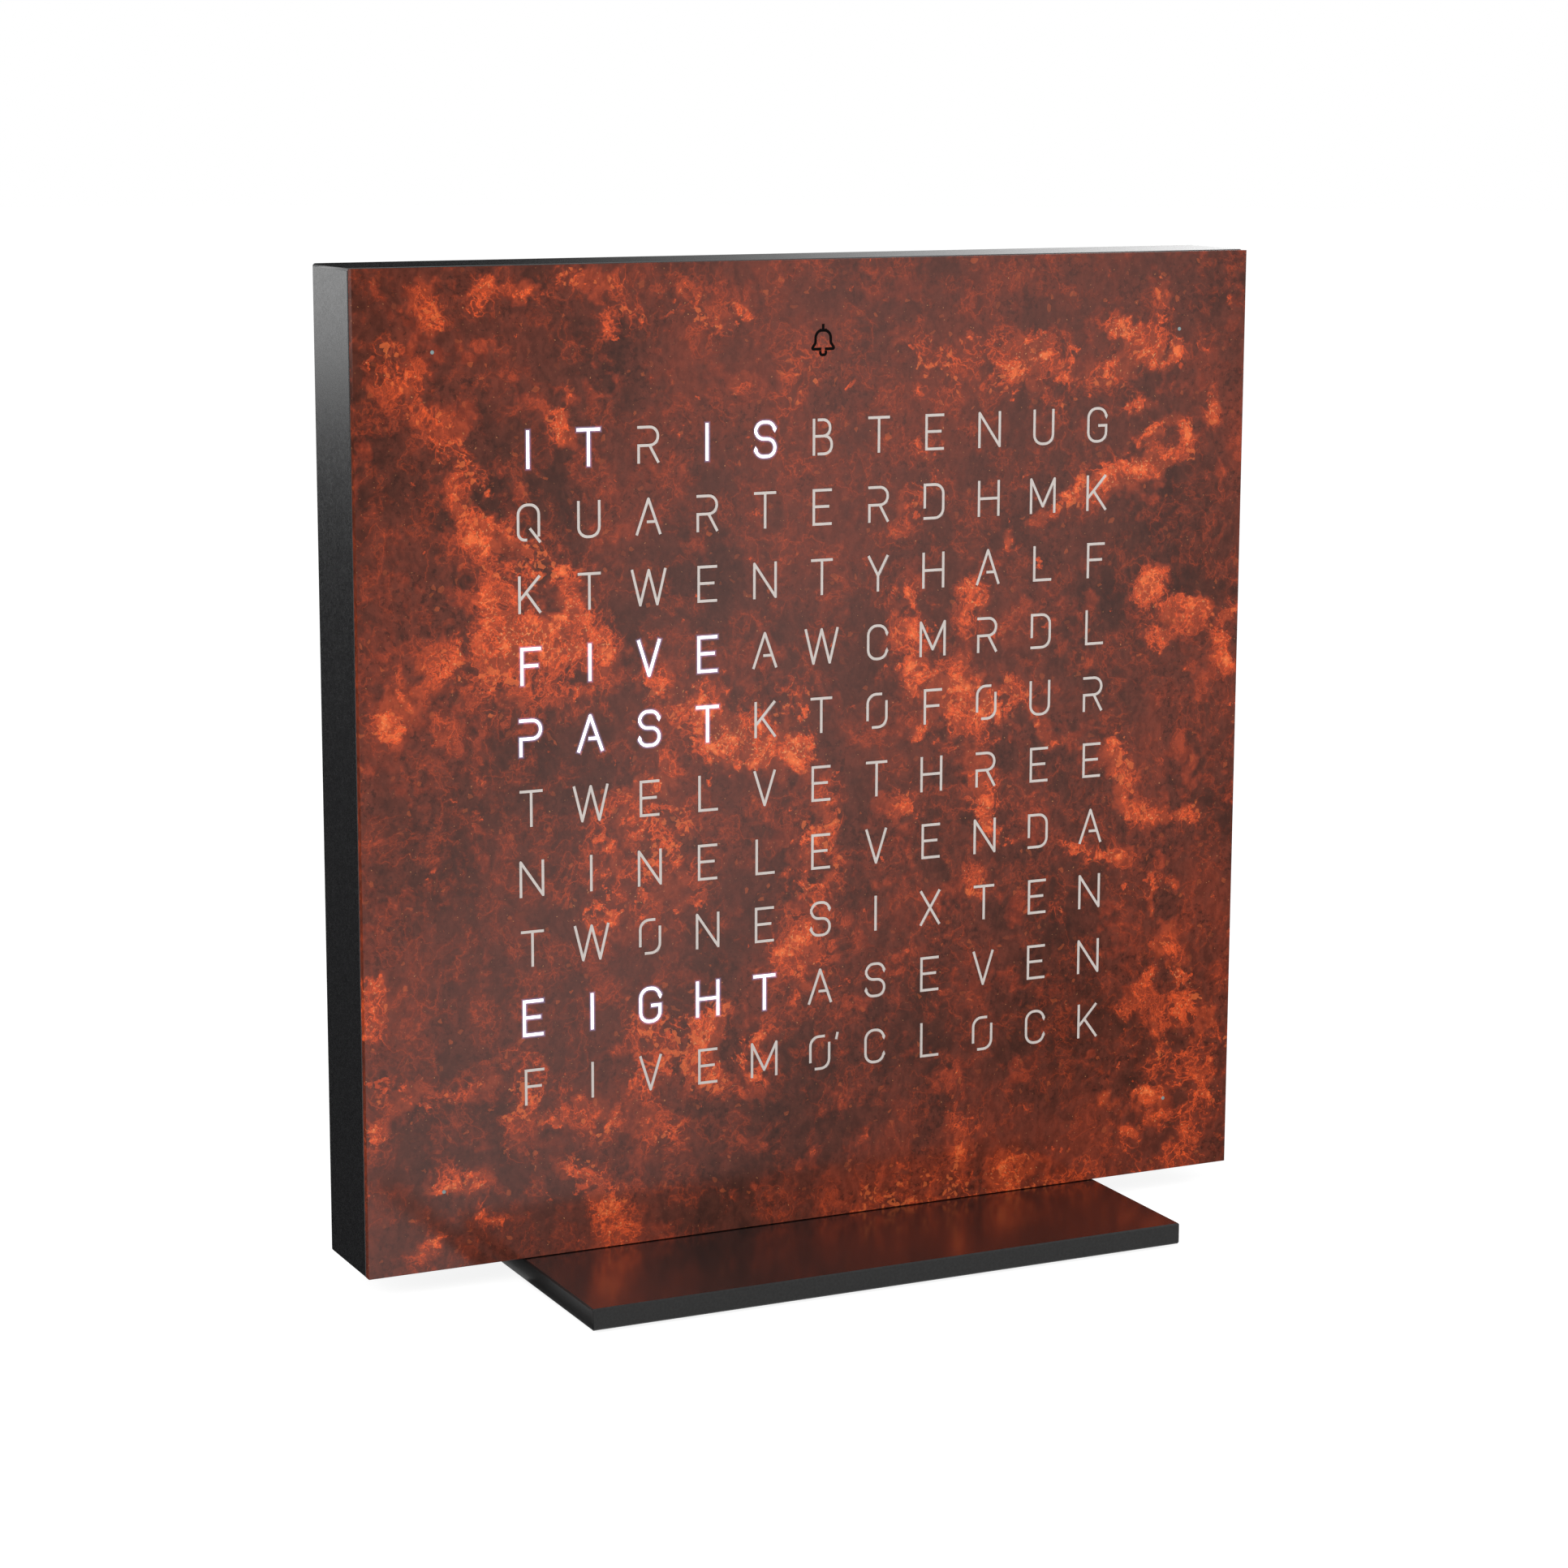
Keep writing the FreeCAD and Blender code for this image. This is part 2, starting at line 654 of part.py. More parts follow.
def back_panel():
    """Rear panel with its ribs and posts, button holes, sound slots and the window of the power socket."""
    panel = slab(panel_half, panel_half, y_panel, y_rear)
    root = y_panel + panel_thickness / 2
    arm, wall = panel_post_span / 2, panel_rib_thickness / 2
    ribs = [block(side * border_middle, 0, wall, panel_post_spacing / 2, y_panel - panel_rib_height, root)
            for side in (-1, 1)]
    for x, z in panel_post_places:
        ribs.append(block(x, z, arm, wall, y_board_back, root))
        ribs.append(block(x, z, wall, arm, y_board_back, root))
    panel = panel.fuse(ribs)
    cuts = [rod(x, z, button_diameter + 2 * button_play, y_panel, y_rear) for x, z in button_places()]
    cuts += sound_slots()
    window_width = socket_width + 2 * socket_window_play
    window_height = socket_height + 2 * socket_window_play
    cuts.append(stadium(window_width, window_height, y_panel, y_rear, *socket_place))
    cone_height = (panel_screw_head_diameter - panel_screw_diameter) / 2
    for x, z in post_places:
        cuts.append(rod(x, z, panel_screw_diameter + 2 * clearance_hole_play, y_panel, y_rear))
        cuts.append(Part.makeCone(panel_screw_head_diameter / 2, panel_screw_diameter / 2, cone_height,
                                  Vector(x, y_rear, z_middle + z), Vector(0, -1, 0)))
    return panel.cut(cuts).removeSplitter()


# ---------------------------------------------------------------- screws
def panel_screws():
    """Four countersunk screws that hold the rear panel on the frame's corner posts."""
    screw = countersunk_screw(panel_screw_diameter, panel_screw_head_diameter, panel_screw_length,
                              recess_across_flats)
    return Part.makeCompound([pointing_forward(screw, x, y_rear, z) for x, z in post_places])


def stand_screws():
    """Two countersunk screws from below the stand into the frame."""
    made = []
    for x in stand_screw_xs:
        screw = countersunk_screw(stand_screw_diameter, stand_screw_head_diameter, stand_screw_length,
                                  recess_across_flats)
        screw.translate(Vector(x, y_middle, z_stand))
        made.append(screw)
    return Part.makeCompound(made)


# ---------------------------------------------------------------- stand
def stand_plate():
    """Flat steel plate with two countersunk holes."""
    plate = box(-stand_width / 2, stand_width / 2, -stand_depth / 2, stand_depth / 2, z_stand, z_case)
    plate = plate.makeChamfer(stand_edge, plate.Edges)
    cone_height = (stand_screw_head_diameter - stand_screw_diameter) / 2
    cuts = []
    for x in stand_screw_xs:
        cuts.append(upright(x, y_middle, stand_screw_diameter + 2 * clearance_hole_play, z_stand, z_case))
        cuts.append(Part.makeCone(stand_screw_head_diameter / 2, stand_screw_diameter / 2, cone_height,
                                  Vector(x, y_middle, z_stand)))
    return plate.cut(cuts)


def stand_pad():
    """Thin rubber sheet under the stand, which also covers the screw heads."""
    half_x = stand_width / 2 - pad_margin
    half_y = stand_depth / 2 - pad_margin
    pad = box(-half_x, half_x, -half_y, half_y, 0, pad_thickness)
    return pad.makeFillet(pad_radius, edges_along(pad, Vector(0, 0, 1)))


# ---------------------------------------------------------------- export
def main():
    """Builds each piece and writes it to its own STEP file."""
    pieces = {
        "front_cover": front_cover(), "letter_diffuser": letter_diffuser(),
        "housing_frame": housing_frame(), "housing_magnets": housing_magnets(),
        "light_grid": light_grid(), "led_board": led_board(), "letter_leds": letter_leds(),
        "minute_leds": minute_leds(), "bell_led": bell_led(), "light_sensor": light_sensor(),
        "processor": processor(), "led_drivers": led_drivers(), "clock_crystal": clock_crystal(),
        "power_coil": power_coil(), "supply_capacitors": supply_capacitors(),
        "coin_cell_holder": coin_cell_holder(), "coin_cell": coin_cell(),
        "coin_cell_contact": coin_cell_contact(), "alarm_sounder": alarm_sounder(),
        "sound_ring": sound_ring(), "touch_contact": touch_contact(),
        "power_socket_shell": power_socket_shell(), "power_socket_tongue": power_socket_tongue(),
        "switch_cases": switch_cases(), "back_panel": back_panel(), "panel_screws": panel_screws(),
        "stand_screws": stand_screws(), "stand_plate": stand_plate(), "stand_pad": stand_pad(),
    }
    for name, (x, z) in zip(button_names, button_places()):
        pieces[name + "_button"] = button_cap(x, z)
        pieces[name + "_plunger"] = switch_plunger(x, z)
    os.makedirs("parts", exist_ok=True)
    for name, shape in pieces.items():
        shape.exportStep("parts/" + name + ".step")
        print(name, len(shape.Solids), "solid(s), valid" if shape.isValid() else "solid(s), NOT VALID")


main()
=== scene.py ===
import math

import bmesh
import bpy
import numpy as np
from mathutils import Matrix, Vector
from mathutils.geometry import delaunay_2d_cdt


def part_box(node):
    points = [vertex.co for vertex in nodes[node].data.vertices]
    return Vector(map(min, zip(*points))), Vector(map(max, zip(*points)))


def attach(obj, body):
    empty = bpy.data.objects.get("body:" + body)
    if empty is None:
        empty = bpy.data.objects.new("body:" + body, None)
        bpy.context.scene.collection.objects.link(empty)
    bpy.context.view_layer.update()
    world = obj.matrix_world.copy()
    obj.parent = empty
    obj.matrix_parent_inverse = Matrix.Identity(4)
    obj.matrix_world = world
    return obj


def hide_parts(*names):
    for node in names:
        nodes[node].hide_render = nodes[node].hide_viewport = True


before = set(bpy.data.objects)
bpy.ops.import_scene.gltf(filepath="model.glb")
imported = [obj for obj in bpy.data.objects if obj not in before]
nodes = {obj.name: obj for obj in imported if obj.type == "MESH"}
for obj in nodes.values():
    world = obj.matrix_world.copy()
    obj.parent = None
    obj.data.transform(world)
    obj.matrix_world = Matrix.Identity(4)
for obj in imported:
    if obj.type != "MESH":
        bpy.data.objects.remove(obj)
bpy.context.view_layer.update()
mm = 0.001
print("frame loaded:", len(nodes), "nodes")


# shader helpers: every finish below is put together from these

def tone(red, green, blue):
    # an 8-bit screen colour as the linear colour that a shader takes
    steps = [value / 255 for value in (red, green, blue)]
    return tuple(s / 12.92 if s < 0.04045 else ((s + 0.055) / 1.055) ** 2.4 for s in steps) + (1.0,)


def shaded(colour, share):
    # the tone of a screen colour, darker with a share below 1 and paler above it
    return tone(*[share * value for value in colour])


def put(tree, kind, inputs=None, **settings):
    # adds one node: settings are its properties, inputs its sockets, given a value or a socket to join
    node = tree.nodes.new("ShaderNode" + kind)
    for name, value in settings.items():
        setattr(node, name, value)
    for name, value in (inputs or {}).items():
        if isinstance(value, bpy.types.NodeSocket):
            tree.links.new(value, node.inputs[name])
        else:
            node.inputs[name].default_value = value
    return node


def startFinish(name, **constants):
    # a new material with its Principled shader; the constants are written on the shader's own sockets
    material = bpy.data.materials.new(name)
    material.use_nodes = True
    tree = material.node_tree
    shader = tree.nodes["Principled BSDF"]
    for key, value in constants.items():
        shader.inputs[key.replace("_", " ")].default_value = value
    return material, tree, shader


def vector(tree, operation, first, second):
    # arithmetic on points and colours, where SCALE takes one number as its second
    inputs = {0: first, "Scale" if operation == "SCALE" else 1: second}
    return put(tree, "VectorMath", inputs, operation=operation).outputs[0]


def placeInMm(tree, stretch=(1, 1, 1)):
    # object coordinates in millimetres, each axis times its stretch
    coordinates = put(tree, "TexCoord").outputs["Object"]
    return vector(tree, "MULTIPLY", coordinates, [value / mm for value in stretch])


def calc(tree, operation, first, second=0.0, third=0.0, clamp=False):
    inputs = {0: first, 1: second, 2: third}
    return put(tree, "Math", inputs, operation=operation, use_clamp=clamp).outputs[0]


def times(tree, first, second):
    return calc(tree, "MULTIPLY", first, second)


def timesPlus(tree, first, second, third):
    return calc(tree, "MULTIPLY_ADD", first, second, third)


def awayFromLevel(tree, value, level):
    return calc(tree, "ABSOLUTE", calc(tree, "SUBTRACT", value, level))


def noise(tree, place, scale, detail, roughness, output="Fac"):
    inputs = {"Vector": place, "Scale": scale, "Detail": detail, "Roughness": roughness}
    return put(tree, "TexNoise", inputs).outputs[output]


def spread(tree, value, low, high, newLow=0.0, newHigh=1.0):
    # smooth step from newLow to newHigh while value goes from low to high
    inputs = {"Value": value, "From Min": low, "From Max": high, "To Min": newLow, "To Max": newHigh}
    return put(tree, "MapRange", inputs, interpolation_type="SMOOTHSTEP").outputs["Result"]


def mix(tree, amount, first, second):
    return put(tree, "Mix", {0: amount, 6: first, 7: second}, data_type="RGBA").outputs[2]


def shades(tree, value, stops):
    # colour ramp through (place, colour) stops
    ramp = put(tree, "ValToRGB", {"Fac": value})
    elements = ramp.color_ramp.elements
    while len(elements) < len(stops):
        elements.new(0.5)
    for element, (where, colour) in zip(elements, stops):
        element.position = where
        element.color = colour
    return ramp.outputs["Color"]


def join(value, shader, name):
    shader.id_data.links.new(value, shader.inputs[name])


def relief(tree, shader, height, depth, strength):
    # bump from a height of 0 to 1 that stands for depth in millimetres
    bump = put(tree, "Bump", {"Strength": strength, "Distance": depth * mm, "Height": height})
    join(bump.outputs["Normal"], shader, "Normal")


# mesh helpers

def addMesh(name, points, faces, material):
    # one new flat-shaded object from an array of points in millimetres and arrays of faces
    if isinstance(faces, np.ndarray):
        faces = [faces]
    mesh = bpy.data.meshes.new(name)
    corners = np.concatenate([group.ravel() for group in faces]).astype(np.int32)
    sizes = np.concatenate([np.full(len(group), group.shape[1]) for group in faces])
    starts = np.concatenate([[0], np.cumsum(sizes)[:-1]]).astype(np.int32)
    mesh.vertices.add(len(points))
    mesh.vertices.foreach_set("co", (points * mm).astype(np.float32).ravel())
    mesh.loops.add(len(corners))
    mesh.loops.foreach_set("vertex_index", corners)
    mesh.polygons.add(len(sizes))
    mesh.polygons.foreach_set("loop_start", starts)
    mesh.update(calc_edges=True)
    mesh.polygons.foreach_set("use_smooth", np.zeros(len(sizes), bool))
    mesh.materials.append(material)
    piece = bpy.data.objects.new(name, mesh)
    bpy.context.scene.collection.objects.link(piece)
    return piece


def tidyMesh(piece):
    # merges doubled points and turns every face outwards
    form = bmesh.new()
    form.from_mesh(piece.data)
    bmesh.ops.remove_doubles(form, verts=form.verts, dist=1e-6)
    bmesh.ops.recalc_face_normals(form, faces=form.faces)
    form.to_mesh(piece.data)
    form.free()


def fit(piece, body, node):
    # hangs a finished piece on its body, in the place of a CAD node where it stands for one
    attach(piece, body)
    if node:
        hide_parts(*([node] if isinstance(node, str) else node))


def roundAngles(sides, start=0.0):
    return np.linspace(0, 2 * math.pi, sides, endpoint=False) + start


def ringFaces(rings, sides):
    # four-cornered faces between rings of points that lie one after another
    ring, side = np.meshgrid(np.arange(rings - 1), np.arange(sides), indexing="ij")
    here = ring * sides + side
    beside = ring * sides + (side + 1) % sides
    return np.stack([here, beside, beside + sides, here + sides], -1).reshape(-1, 4)


# the letters of the face: every letter is a few strokes of one width, with bridges that hold its middle

dial = {
    "rows": ["ITRISBTENUG",
             "QUARTERDHMK",
             "KTWENTYHALF",
             "FIVEAWCMRDL",
             "PASTKTOFOUR",
             "TWELVETHREE",
             "NINELEVENDA",
             "TWONESIXTEN",
             "EIGHTASEVEN",
             "FIVEMOCLOCK"],
    "litRows": {0: (0, 1, 3, 4), 3: (0, 1, 2, 3), 4: (0, 1, 2, 3), 8: (0, 1, 2, 3, 4)},
    "columnPitch": 8.66,
    "rowPitch": 9.63,
    "strokeWidth": 0.38,
    "chamfer": 0.1,             # width of the bevel round every opening
    "chamferDepth": 0.08,
    "paneDepth": 0.06,          # front of the opal panes, below the face
    "glowReach": 0.36,          # painted glow: light painted on the steel round a lit letter
    "rimBevel": 0.04,           # bevel round the steel sheet
    "arcSteps": 6,
    "longestBend": 1.3,         # most of a stroke's run that an arc takes up
    "meeting": 0.3,             # strokes nearer than this meet
    "squareMeeting": 0.2,       # cosine under which strokes meet at a right angle
    "netSteps": (7, 8),         # points of the net that carries the rust, across and up each cell
    "netGap": 0.2,              # room between the net and a letter's outlines
    "blockGap": 0.3,            # room between the net and the block of letters
    "signGap": 0.7,             # room between the net and the bell or a dot
}
faceLow, faceHigh = (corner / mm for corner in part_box("front_cover"))
faceMiddle = (faceLow + faceHigh) / 2

letterTop = 2.33                # half the height of a stroke's middle line
stencils = {
    "A": [[(-1.68, -letterTop), (0, letterTop)], [(0, letterTop), (1.68, -letterTop)],
          [(1.08, -0.75), (-0.05, -0.75)]],
    "B": [[(-1.3, letterTop), (-1.3, -letterTop)],
          [(-0.55, letterTop), (1.15, letterTop, 1.05), (1.15, 0.1, 1.05), (-1.3, 0.1)],
          [(0.5, 0.1), (1.4, 0.1, 1.1), (1.4, -letterTop, 1.1), (-0.55, -letterTop)]],
    "C": [[(1.45, 1.3), (1.45, letterTop, 1.3), (-1.45, letterTop, 1.3), (-1.45, -letterTop, 1.3),
           (1.45, -letterTop, 1.3), (1.45, -1.3)]],
    "D": [[(-1.45, -0.75), (-1.45, letterTop)],
          [(-1.45, letterTop), (1.45, letterTop, 1.3), (1.45, -letterTop, 1.3), (-1.45, -letterTop)]],
    "E": [[(-1.28, letterTop), (-1.28, -letterTop)], [(-1.28, letterTop), (1.28, letterTop)],
          [(-1.28, 0.08), (0.88, 0.08)], [(-1.28, -letterTop), (1.28, -letterTop)]],
    "F": [[(-1.13, letterTop), (-1.13, -letterTop)], [(-1.13, letterTop), (1.38, letterTop)],
          [(-1.13, 0.08), (0.98, 0.08)]],
    "G": [[(1.45, 1.3), (1.45, letterTop, 1.3), (-1.45, letterTop, 1.3), (-1.45, -letterTop, 1.3),
           (1.45, -letterTop, 1.3), (1.45, -0.1)], [(1.45, -0.1), (0.35, -0.1)]],
    "H": [[(-1.55, letterTop), (-1.55, -letterTop)], [(1.55, letterTop), (1.55, -letterTop)],
          [(-1.55, 0.0), (1.55, 0.0)]],
    "I": [[(0, letterTop), (0, -letterTop)]],
    "K": [[(-1.38, letterTop), (-1.38, -letterTop)], [(1.4, letterTop), (-1.38, -0.75)],
          [(-0.4, 0.25), (1.5, -letterTop)]],
    "L": [[(-1.2, letterTop), (-1.2, -letterTop)], [(-1.2, -letterTop), (1.38, -letterTop)]],
    "M": [[(-1.88, -letterTop), (-1.88, letterTop)], [(-1.88, letterTop), (0, -1.5)],
          [(0, -1.5), (1.88, letterTop)], [(1.88, letterTop), (1.88, -letterTop)]],
    "N": [[(-1.6, -letterTop), (-1.6, letterTop)], [(-1.6, letterTop), (1.6, -letterTop)],
          [(1.6, -letterTop), (1.6, letterTop)]],
    "O": [[(-1.47, -1.2), (-1.47, letterTop, 1.3), (0.6, letterTop)],
          [(1.47, 1.2), (1.47, -letterTop, 1.3), (-0.6, -letterTop)]],
    "P": [[(-1.4, letterTop), (1.45, letterTop, 1.2), (1.45, -0.15, 1.2), (-1.4, -0.15)],
          [(-1.4, -0.15), (-1.4, -letterTop)]],
    "Q": [[(-0.4, -letterTop), (-1.47, -letterTop, 0.95), (-1.47, letterTop, 1.3),
           (1.47, letterTop, 1.3), (1.47, -1.75)], [(0.3, -0.95), (1.55, -2.55)]],
    "R": [[(-1.4, letterTop), (1.42, letterTop, 1.2), (1.42, -0.12, 1.2), (-1.4, -0.12)],
          [(-1.4, -0.12), (-1.4, -letterTop)], [(0.2, -0.12), (1.42, -letterTop)]],
    "S": [[(1.4, 1.45), (1.4, letterTop, 1.15), (-1.4, letterTop, 1.15), (-1.4, 0.12, 1.15),
           (1.45, 0.0, 1.15), (1.45, -letterTop, 1.15), (-1.45, -letterTop, 1.15), (-1.45, -1.45)]],
    "T": [[(-1.48, letterTop), (1.48, letterTop)], [(0, letterTop), (0, -letterTop)]],
    "U": [[(-1.5, letterTop), (-1.5, -letterTop, 1.3), (1.5, -letterTop, 1.3), (1.5, letterTop)]],
    "V": [[(-1.5, letterTop), (0, -letterTop)], [(0, -letterTop), (1.5, letterTop)]],
    "W": [[(-2.42, letterTop), (-1.25, -letterTop)], [(-1.25, -letterTop), (0, letterTop)],
          [(0, letterTop), (1.25, -letterTop)], [(1.25, -letterTop), (2.42, letterTop)]],
    "X": [[(-1.42, letterTop), (1.42, -letterTop)], [(1.42, letterTop), (-1.42, -letterTop)]],
    "Y": [[(-1.4, letterTop), (0, -0.3)], [(1.4, letterTop), (0, -0.3)], [(0, -0.3), (0, -letterTop)]],
}
apostrophe = [[(2.75, 2.5), (2.6, 1.85)]]
bellSign = {
    "strokeWidth": 0.4,
    "depth": 0.02,              # front of the sign, below the face
    "above": 56.5,              # middle of the sign, above the middle of the case
    "strokes": [[(-0.45, -1.2), (-1.75, -1.2, 0.15), (-1.15, -0.35, 0.5), (-1.15, 1.35, 1.05), (-0.35, 1.35)],
                [(0.45, -1.2), (1.75, -1.2, 0.15), (1.15, -0.35, 0.5), (1.15, 1.35, 1.05), (0.35, 1.35)],
                [(-0.42, -1.62), (-0.42, -2.0, 0.3), (0.42, -2.0, 0.3), (0.42, -1.62)],
                [(0, 1.72), (0, 2.0)]],
}
minuteDot = {"radius": 0.27, "chamfer": 0.05, "chamferDepth": 0.05, "offset": 56.5}


def bendPath(corners):
    # a path through its corners, where a corner with a radius becomes an arc tangent to both its runs
    points = []
    for index, corner in enumerate(corners):
        here = np.array(corner[:2], float)
        if len(corner) == 2:
            points.append(here[None])
            continue
        back = np.array(corners[index - 1][:2], float) - here
        ahead = np.array(corners[index + 1][:2], float) - here
        back /= np.linalg.norm(back)
        ahead /= np.linalg.norm(ahead)
        halfAngle = math.acos(np.clip(back @ ahead, -1, 1)) / 2
        reach = min(corner[2] / math.tan(halfAngle), dial["longestBend"])
        radius = reach * math.tan(halfAngle)
        middle = here + (back + ahead) / np.linalg.norm(back + ahead) * radius / math.sin(halfAngle)
        start = here + back * reach - middle
        end = here + ahead * reach - middle
        turn = math.atan2(start[0] * end[1] - start[1] * end[0], start @ end)
        steps = np.linspace(0, turn, dial["arcSteps"] + 1)[:, None]
        across = np.array([-start[1], start[0]])
        points.append(middle + np.cos(steps) * start + np.sin(steps) * across)
    path = np.concatenate(points)
    keep = np.ones(len(path), bool)
    keep[1:] = np.linalg.norm(np.diff(path, axis=0), axis=1) > 1e-4
    return path[keep]


def strokeRing(stroke, reach):
    # closed outline at a distance from a stroke: out along its left side, round or square over its end,
    # back along its right side and over its start
    path, squareEnds = stroke
    steps = np.linspace(0, math.pi, dial["arcSteps"] + 2)[1:-1]
    if len(path) == 1:
        angles = roundAngles(4 * dial["arcSteps"])
        return path + reach * np.stack([np.cos(angles), np.sin(angles)], 1)
    runs = np.diff(path, axis=0)
    runs /= np.linalg.norm(runs, axis=1)[:, None]
    heading = np.vstack([runs[:1], runs[:-1] + runs[1:], runs[-1:]])
    heading /= np.linalg.norm(heading, axis=1)[:, None]
    left = np.stack([-heading[:, 1], heading[:, 0]], 1)
    caps = []
    for end, side, forward, isSquare in ((path[0], -left[0], -heading[0], squareEnds[0]),
                                         (path[-1], left[-1], heading[-1], squareEnds[1])):
        over = np.cos(steps)[:, None] * side + np.sin(steps)[:, None] * forward
        caps.append(end + reach * (np.stack([side + forward, forward - side]) if isSquare else over))
    return np.concatenate([path + left * reach, caps[1], (path - left * reach)[::-1], caps[0]])


def awayFrom(points, strokes):
    # distance of every point from the nearest of the strokes; past a square end it is the greater of the
    # distances along and across the stroke
    nearest = np.full(len(points), 1e9)
    for path, squareEnds in strokes:
        starts = path[:-1] if len(path) > 1 else path
        spans = np.diff(path, axis=0) if len(path) > 1 else np.zeros_like(path)
        offset = points[:, None] - starts[None]
        lengths = np.maximum(np.linalg.norm(spans, axis=1), 1e-9)
        along = (offset * spans[None]).sum(2) / lengths
        inside = np.clip(along, 0, lengths)
        gaps = np.linalg.norm(offset - (inside / lengths)[..., None] * spans[None], axis=2)
        across = np.sqrt(np.maximum((offset ** 2).sum(2) - along ** 2, 0))
        ends = ((squareEnds[0], 0, -along[:, 0]), (squareEnds[1], -1, (along - lengths)[:, -1]))
        for isSquare, index, past in ends:
            if isSquare:
                gaps[:, index] = np.where(past > 0, np.maximum(past, across[:, index]), gaps[:, index])
        nearest = np.minimum(nearest, gaps.min(1))
    return nearest


def plainStroke(line):
    return np.array(line, float).reshape(-1, 2), (False, False)


def meetsSquarely(end, heading, other):
    # false where a path comes close to the end of a stroke at a slant
    for first, second in zip(other[:-1], other[1:]):
        near = awayFrom(end[None], [plainStroke([first, second])])[0] < dial["meeting"]
        run = second - first
        turn = abs(run @ heading) / np.linalg.norm(run) / np.linalg.norm(heading)
        if near and turn >= dial["squareMeeting"]:
            return False
    return True


def cutStrokes(lines):
    # strokes of one sign: an end is square where it is free or meets another stroke at a right angle
    paths = [bendPath(line) for line in lines]
    strokes = []
    for index, path in enumerate(paths):
        others = paths[:index] + paths[index + 1:]
        squareEnds = [all(meetsSquarely(end, end - before, other) for other in others)
                      for end, before in ((path[0], path[1]), (path[-1], path[-2]))]
        strokes.append((path, squareEnds))
    return strokes


def cutSheet(frames, groups, net):
    # triangles of a flat sheet with the outline of every stroke cut into it; a group is its paths and the
    # distances at which its outlines run, frames are closed borders and net is loose points
    points, edges = [], []

    def addRing(ring):
        first = sum(len(group) for group in points)
        points.append(np.asarray(ring, float))
        edges.extend((first + i, first + (i + 1) % len(ring)) for i in range(len(ring)))

    for ring in frames:
        addRing(ring)
    for paths, reaches in groups:
        for path in paths:
            for reach in reaches:
                addRing(strokeRing(path, reach))
    points.append(net)
    flat = [Vector(point) for point in np.concatenate(points)]
    corners, _, faces, _, _, _ = delaunay_2d_cdt(flat, edges, [], 0, 1e-5)
    triangles = np.array([face for face in faces if len(face) == 3])
    return np.array([tuple(corner) for corner in corners]), triangles


def squareRing(halfWidth, halfHeight, across, up):
    # closed border of a rectangle about the middle, with evenly spaced points along its sides
    xs = np.linspace(-halfWidth, halfWidth, across + 1)
    zs = np.linspace(-halfHeight, halfHeight, up + 1)
    sides = [(xs[:-1], -halfHeight), (halfWidth, zs[:-1]), (xs[:0:-1], halfHeight), (-halfWidth, zs[:0:-1])]
    return np.concatenate([np.stack(np.broadcast_arrays(x, z), 1) for x, z in sides])


def netInside(halfWidth, halfHeight, across, up):
    # points of an even net inside a rectangle, without its border
    xs = np.linspace(-halfWidth, halfWidth, across + 1)[1:-1]
    zs = np.linspace(-halfHeight, halfHeight, up + 1)[1:-1]
    return np.stack(np.meshgrid(xs, zs), -1).reshape(-1, 2)


halfStroke = dial["strokeWidth"] / 2
halfCell = np.array((dial["columnPitch"], dial["rowPitch"])) / 2


def letterCell(letter, lit, withMark):
    # one cell of the face: its points, the depth and the painted glow of each, and its steel and open
    # triangles;
    # depth and painted glow fall evenly to nothing over the chamfer and over the glow's reach from the
    # opening
    paths = cutStrokes(stencils[letter] + (apostrophe if withMark else []))
    reaches = [halfStroke, halfStroke + dial["chamfer"]] + ([halfStroke + dial["glowReach"]] if lit else [])
    net = netInside(*halfCell, *dial["netSteps"])
    net = net[awayFrom(net, paths) > reaches[-1] + dial["netGap"]]
    points, faces = cutSheet([squareRing(*halfCell, *dial["netSteps"])], [(paths, reaches)], net)
    away = awayFrom(points, paths) - halfStroke
    depth = np.clip(1 - away / dial["chamfer"], 0, 1) * dial["chamferDepth"]
    paintedGlow = np.clip(1 - away / dial["glowReach"], 0, 1) if lit else np.zeros(len(points))
    isOpen = awayFrom(points[faces].mean(1), paths) < halfStroke
    return points, depth, paintedGlow, faces[~isOpen], faces[isOpen]


